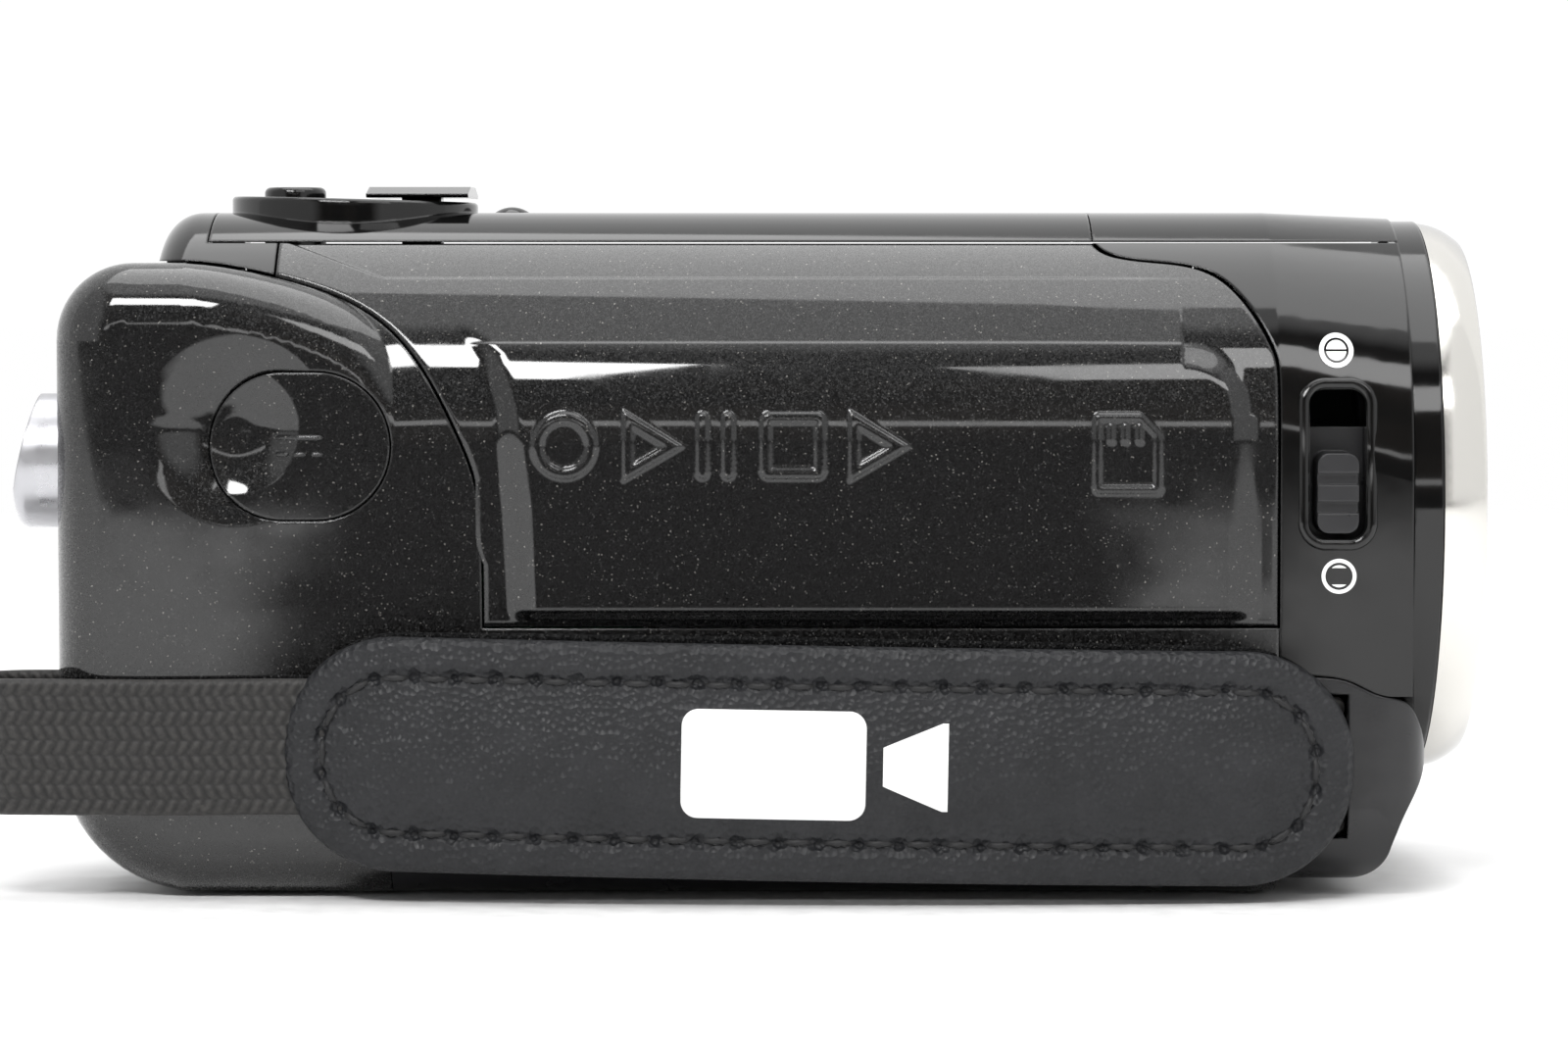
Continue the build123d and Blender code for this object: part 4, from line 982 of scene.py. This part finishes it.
def step_up(tree, source, start, end, high=1.0):
    """0 below start, high above end, with a smooth turn between."""
    settings = {1: start, 2: end, 3: 0.0, 4: high}
    node = add(tree, "ShaderNodeMapRange", settings, interpolation_type="SMOOTHSTEP")
    tree.links.new(source, node.inputs[0])
    return node.outputs[0]


def brightest(tree, *sources):
    """The largest of several values."""
    result = sources[0]
    for other in sources[1:]:
        result = maths(tree, "MAXIMUM", result, other)
    return result


def room_tone(tree, vector):
    """The dim side of the room: warm and dark, with a few lighter shapes."""
    shapes = add(tree, "ShaderNodeTexNoise", {"Scale": 3.2, "Detail": 2.0})
    tree.links.new(vector, shapes.inputs["Vector"])
    return mix_colours(tree, remap(tree, shapes.outputs["Fac"], 0, 1, 0.45, 0.65),
                       (0.012, 0.010, 0.009), (0.10, 0.082, 0.066))


def build_world():
    """A white studio to the camera; its dark end shows only in the object's reflections."""
    world = bpy.data.worlds.new("studio")
    bpy.context.scene.world = world
    world.use_nodes = True
    tree = world.node_tree
    shade = tree.nodes["Background"]
    where = add(tree, "ShaderNodeTexCoord").outputs["Generated"]
    split = add(tree, "ShaderNodeSeparateXYZ")
    tree.links.new(where, split.inputs[0])
    x, y, z = split.outputs
    left = maths(tree, "MULTIPLY", x, -1.0)
    lit = brightest(tree, step_up(tree, y, 0.0, 0.16, 1.05), step_up(tree, z, 0.80, 0.88, 1.15),
                    step_up(tree, x, 0.30, 0.5, 0.9), step_up(tree, left, 0.42, 0.62, 0.8))
    camera_ray = add(tree, "ShaderNodeLightPath").outputs["Is Camera Ray"]
    share = brightest(tree, lit, camera_ray)
    tone = add(tree, "ShaderNodeMix", data_type="RGBA", clamp_factor=False)
    tone.inputs[7].default_value = (1.0, 1.0, 1.0, 1)
    tree.links.new(share, tone.inputs[0])
    tree.links.new(room_tone(tree, where), tone.inputs[6])
    tree.links.new(tone.outputs[2], shade.inputs["Color"])


TABLE_END = 0.60  # how far in front of the object the reflected table reaches
SHADE_START = 0.17  # where the painted reflection of the camera and its operator begins
SHADE_SPREAD = 0.084  # half of that shape's width per metre of distance
FIGURE_NEAR = 0.40  # added to the distance ahead before that width is taken


def build_floor():
    """A white table that carries a painted reflection: to reflection rays only it shows the dark shape of
    whoever stands at the camera, and a far edge.
    """
    bpy.ops.mesh.primitive_plane_add(size=6.0, location=(0, 0, -0.0002))
    floor = bpy.context.object
    floor.name = "floor"
    mat = plastic("pale_floor", (0.86, 0.86, 0.86), (0.9, 0.9, 0.9), 0.5, grain=0.00002, grain_scale=900.0)
    tree = mat.node_tree
    surface = tree.nodes["Principled BSDF"]
    split = add(tree, "ShaderNodeSeparateXYZ")
    tree.links.new(add(tree, "ShaderNodeNewGeometry").outputs["Position"], split.inputs[0])
    ahead = maths(tree, "MULTIPLY", split.outputs[1], -1.0)
    from_camera = maths(tree, "ADD", ahead, FIGURE_NEAR)
    spread = maths(tree, "DIVIDE", maths(tree, "ABSOLUTE", split.outputs[0], 0.0), from_camera)
    ragged = maths(tree, "ADD", spread, remap(tree, noise(tree, 6.0, 2.0), -0.03, 0.03))
    figure = remap(tree, ragged, 1.0, 0.0, SHADE_SPREAD, SHADE_SPREAD + 0.012)
    shade = maths(tree, "MULTIPLY", figure, remap(tree, ahead, 0.0, 1.0, SHADE_START, SHADE_START + 0.05))
    beyond = remap(tree, ahead, 0.0, 1.0, TABLE_END, TABLE_END + 0.04)
    # painted reflection: a dark emission that only glossy rays see
    painted_reflection_mask = maths(tree, "MULTIPLY", maths(tree, "MAXIMUM", shade, beyond),
                   add(tree, "ShaderNodeLightPath").outputs["Is Glossy Ray"])
    reach = add(tree, "ShaderNodeVectorMath", operation="LENGTH")
    tree.links.new(add(tree, "ShaderNodeNewGeometry").outputs["Position"], reach.inputs[0])
    backdrop = maths(tree, "MULTIPLY", remap(tree, reach.outputs["Value"], 0.0, 1.0, 0.15, 0.6),
                     add(tree, "ShaderNodeLightPath").outputs["Is Camera Ray"])
    seen = surface.outputs[0]
    for factor, colour in ((painted_reflection_mask, (0.022, 0.018, 0.015, 1)), (backdrop, (1.0, 1.0, 1.0, 1))):
        glow = add(tree, "ShaderNodeEmission", {"Color": colour})
        blend = add(tree, "ShaderNodeMixShader")
        tree.links.new(factor, blend.inputs[0])
        tree.links.new(seen, blend.inputs[1])
        tree.links.new(glow.outputs[0], blend.inputs[2])
        seen = blend.outputs[0]
    tree.links.new(seen, tree.nodes["Material Output"].inputs["Surface"])
    floor.data.materials.append(mat)


build_world()
build_floor()
soft_box("window", (-0.25, -0.70, 0.72), (0, 0, 0.03), 0.42, 0.20, 6.6)
soft_box("far_window", (0.30, -0.70, 0.72), (0, 0, 0.03), 0.5, 0.18, 1.6)
soft_box("low_strip", (-0.1, -0.99, 0.17), (0, 0, 0.03), 0.7, 0.04, 0.25)
soft_box("ceiling", (0.1, 0.15, 1.1), (0, 0, 0.03), 1.2, 0.9, 8.0)

DISTANCE, ELEVATION, TARGET_Z, LENS, SENSOR = 0.425, math.radians(3.0), 0.0281, 119.05, 36.0
camera = bpy.data.objects.new("camera", bpy.data.cameras.new("camera"))
camera.location = (0, -DISTANCE * math.cos(ELEVATION), TARGET_Z + DISTANCE * math.sin(ELEVATION))
camera.rotation_euler = (math.radians(90) - ELEVATION, 0, 0)
camera.data.lens = LENS
camera.data.sensor_width = SENSOR
camera.data.clip_start = 0.01
bpy.context.scene.collection.objects.link(camera)
bpy.context.scene.camera = camera
bpy.context.scene.view_settings.view_transform = "Standard"
